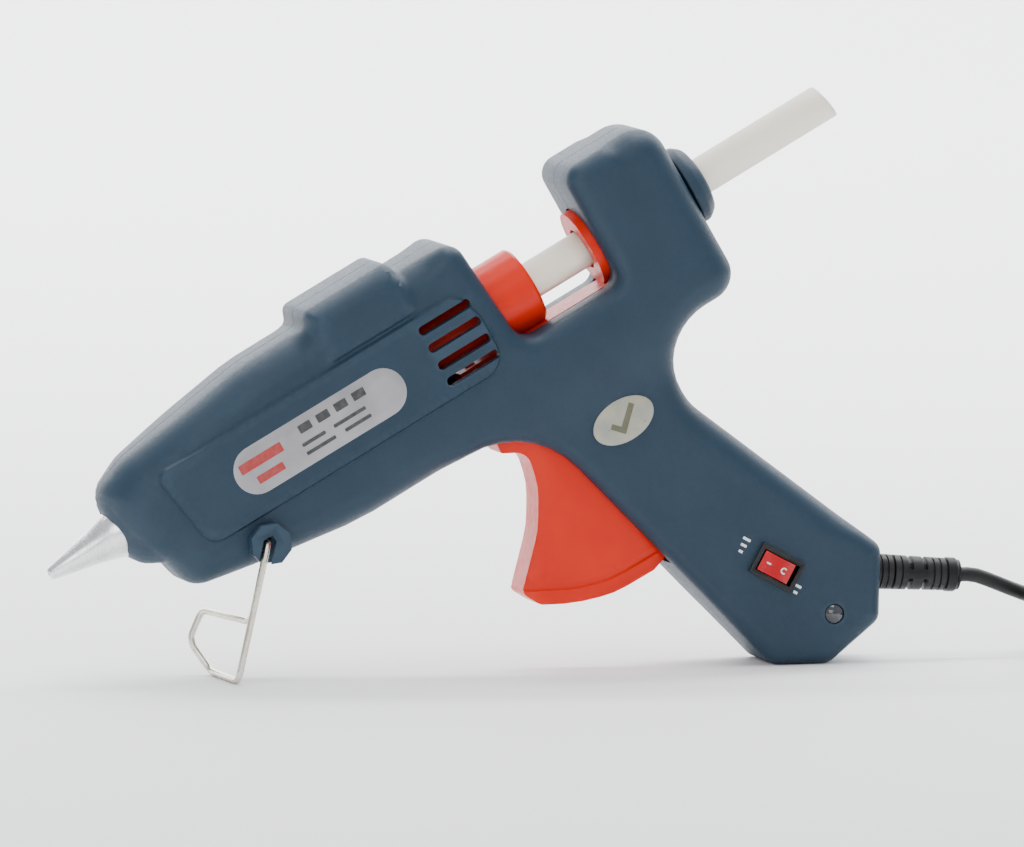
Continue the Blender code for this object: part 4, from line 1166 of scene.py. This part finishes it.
def boot_radius(height, angle):
    """The boot's radius. A slot is (low, high, how deep, whether a web crosses it)."""
    radius = 5.35 - 0.6 * height / RELIEF_LENGTH
    if height > 23.0:
        radius = 5.1 if height < 26.0 else 4.5
    for low, high, sunk, webbed in RELIEF_SLOTS:
        if low < height < high:
            web = float(fade(math.cos(2 * angle), -0.80, -0.66)) if webbed else 1.0
            radius -= sunk * web
    return radius


def make_relief(paints):
    """The strain relief: a tapered boot, finely ribbed, with two deep slots on a web."""
    work = bmesh.new()
    turn = Matrix.Rotation(math.pi / 2 + RELIEF_TURN, 3, "Y")
    base = Vector((RELIEF[0], 0.0, RELIEF[1]))

    def ring(radii, height):
        found = []
        for k, radius in enumerate(radii):
            angle = math.tau * k / RELIEF_STEPS
            local = Vector((radius * math.cos(angle), radius * math.sin(angle), height))
            found.append(work.verts.new(turn @ local + base))
        return found

    angles = [math.tau * k / RELIEF_STEPS for k in range(RELIEF_STEPS)]
    bends = {23.2, 25.6, 26.5, *(mark for slot in RELIEF_SLOTS for mark in slot[:2])}
    heights = [0.0, RELIEF_LENGTH]
    for mark in bends:
        heights += [mark - 0.06, mark + 0.06]
    rings = [ring([0.0], RELIEF_BASE + RELIEF_LENGTH)]
    for height in sorted(heights, reverse=True):
        radii = [boot_radius(height, angle) for angle in angles]
        rings.append(ring(radii, RELIEF_BASE + height))
    for radius, height in ((4.3, RELIEF_BASE), (4.3, -3.1), (6.4, -3.1), (6.4, -5.2)):
        rings.append(ring([radius] * RELIEF_STEPS, height))
    rings.append(ring([0.0], -5.2))
    loft(work, rings)
    mesh = finish_mesh("strain_relief_boot", work, (paints["black_plastic"],), 30.0)
    piece("strain_relief_boot", mesh, "housing", "black_plastic", replaced=("strain_relief",))


def add_mark(work, corners, y_low, y_high, number=0):
    """A printed mark: a thin raised shape with its own material."""
    extrude(work, filleted(corners, 20), y_low, y_high, number)


def strip(u, w, width, height, turn=0.0, fillet=0.3):
    """Corners of a short bar centred on (u, w)."""
    spin = Matrix.Rotation(turn, 2)
    signs = ((-1, 1), (1, 1), (1, -1), (-1, -1))
    found = []
    for a, b in signs:
        corner = spin @ Vector((a * width / 2, b * height / 2))
        found.append((u + corner.x, w + corner.y, fillet))
    return found


def make_name_plate(paints):
    """Foil capsule on the barrel. Plain bars stand in for its print."""
    work = bmesh.new()
    low, high = -19.15, -18.6
    corners = ((58.2, 5.7, 7.3), (116.4, 5.7, 7.3), (116.4, -9.0, 7.3), (58.2, -9.0, 7.3))
    slab(work, corners, low, high, 0.2, spacing=1.2, grid=4.0, arcs=2)
    face = low - 0.06
    for u, w, width, height, number in (
        (68.0, 0.6, 14.5, 3.0, 1),
        (68.6, -4.6, 9.0, 2.4, 1),
        (84.0, 1.9, 4.2, 2.6, 2),
        (90.2, 1.9, 4.2, 2.6, 2),
        (96.4, 1.9, 4.2, 2.6, 2),
        (102.6, 1.9, 4.2, 2.6, 2),
        (84.6, -2.6, 8.0, 1.1, 2),
        (97.0, -2.6, 11.0, 1.1, 2),
        (85.6, -5.4, 10.0, 1.1, 2),
        (98.4, -5.4, 9.0, 1.1, 2),
    ):
        add_mark(work, strip(u, w, width, height), face, low + 0.05, number)
    inks = (paints["label_silver"], paints["mark_red"], paints["mark_dark"])
    mesh = finish_mesh("name_plate_foil", work, inks)
    piece("name_plate_foil", mesh, "housing", "label_silver", replaced=("name_plate",))


def make_sticker(paints):
    """Oval foil on the handle with a plain tick."""
    work = bmesh.new()
    low, high = -15.62, -15.1
    oval = [
        (168.4 + 10.0 * math.cos(-math.tau * k / 48), -47.3 + 6.3 * math.sin(-math.tau * k / 48))
        for k in range(48)
    ]
    slab(work, oval, low, high, 0.15, grid=3.0, arcs=2)
    tick = [
        (163.6, -47.6, 0.2),
        (164.9, -46.4, 0.2),
        (166.9, -48.6, 0.2),
        (172.4, -43.4, 0.2),
        (173.6, -44.7, 0.2),
        (167.0, -51.2, 0.2),
    ]
    add_mark(work, tick, low - 0.06, low + 0.05, 1)
    mesh = finish_mesh("check_sticker_foil", work, (paints["label_foil"], paints["mark_olive"]))
    piece("check_sticker_foil", mesh, "housing", "label_foil", replaced=("check_sticker",))


def add_ring(work, centre, outer, inner, y_low, y_high, steps=24):
    """A printed ring, as short pieces side by side."""
    spokes = [math.tau * k / steps for k in range(steps)]
    for k, after in around(steps):
        corners = [
            (radius * math.cos(spokes[j]), radius * math.sin(spokes[j]) + centre)
            for radius, j in ((outer, k), (outer, after), (inner, after), (inner, k))
        ]
        extrude(work, corners, y_low, y_high)


def print_marks(name, work, paints, body, place=GUN):
    made = piece(name, finish_mesh(name, work, (paints["mark_white"],)), place=place)
    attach(made, body)


def make_marks(paints):
    """Scale bars beside the switch, and the on and off marks on its rocker."""
    work = bmesh.new()
    face = -HANDLE_HALF
    turn = -SWITCH_TURN
    for u, w, count in ((181.7, -98.7, 3), (189.2, -118.6, 2)):
        for k in range(count):
            shift = (k - (count - 1) / 2) * 2.0
            place = (u + shift * math.cos(turn), w + shift * math.sin(turn))
            bar_mark = strip(*place, 0.8, 1.3 + 0.6 * k, turn, 0.1)
            add_mark(work, bar_mark, face - 0.07, face + 0.05)
    print_marks("switch_scale", work, paints, "housing")
    work = bmesh.new()
    add_mark(work, strip(0.0, 2.6, 0.5, 1.7, 0.0, 0.1), -3.5, -3.3)
    add_ring(work, -2.6, 1.0, 0.6, -3.5, -3.3)
    seat = SEAT.copy()
    seat.translation *= MM
    axis = Matrix.Translation((0.0, -13.5 * MM, 0.0))
    rest = Matrix.Rotation(math.radians(-10.0), 4, "X")
    print_marks("rocker_marks", work, paints, "rocker", GUN @ seat @ axis @ rest)


def paint_nodes(paints):
    """Give every CAD solid the paint of its material slot."""
    slots = {part["node"]: part["material_slot"] for part in frame["record"]["subparts"]}
    for name, node in frame["nodes"].items():
        node.data.materials.clear()
        node.data.materials.append(paints[slots[name]].made)
        soften(node)


def main():
    make_camera()
    make_studio()
    paints = make_paints()
    cord, leaving, length = make_cord(paints)
    plug = make_plug(paints)
    paint_nodes(paints)
    make_shell("left_shell", -1, paints)
    make_shell("right_shell", 1, paints)
    make_nozzle(paints)
    make_stick(paints)
    make_collar(paints)
    make_trigger(paints)
    make_stand(paints)
    make_relief(paints)
    make_name_plate(paints)
    make_sticker(paints)
    make_marks(paints)


main()
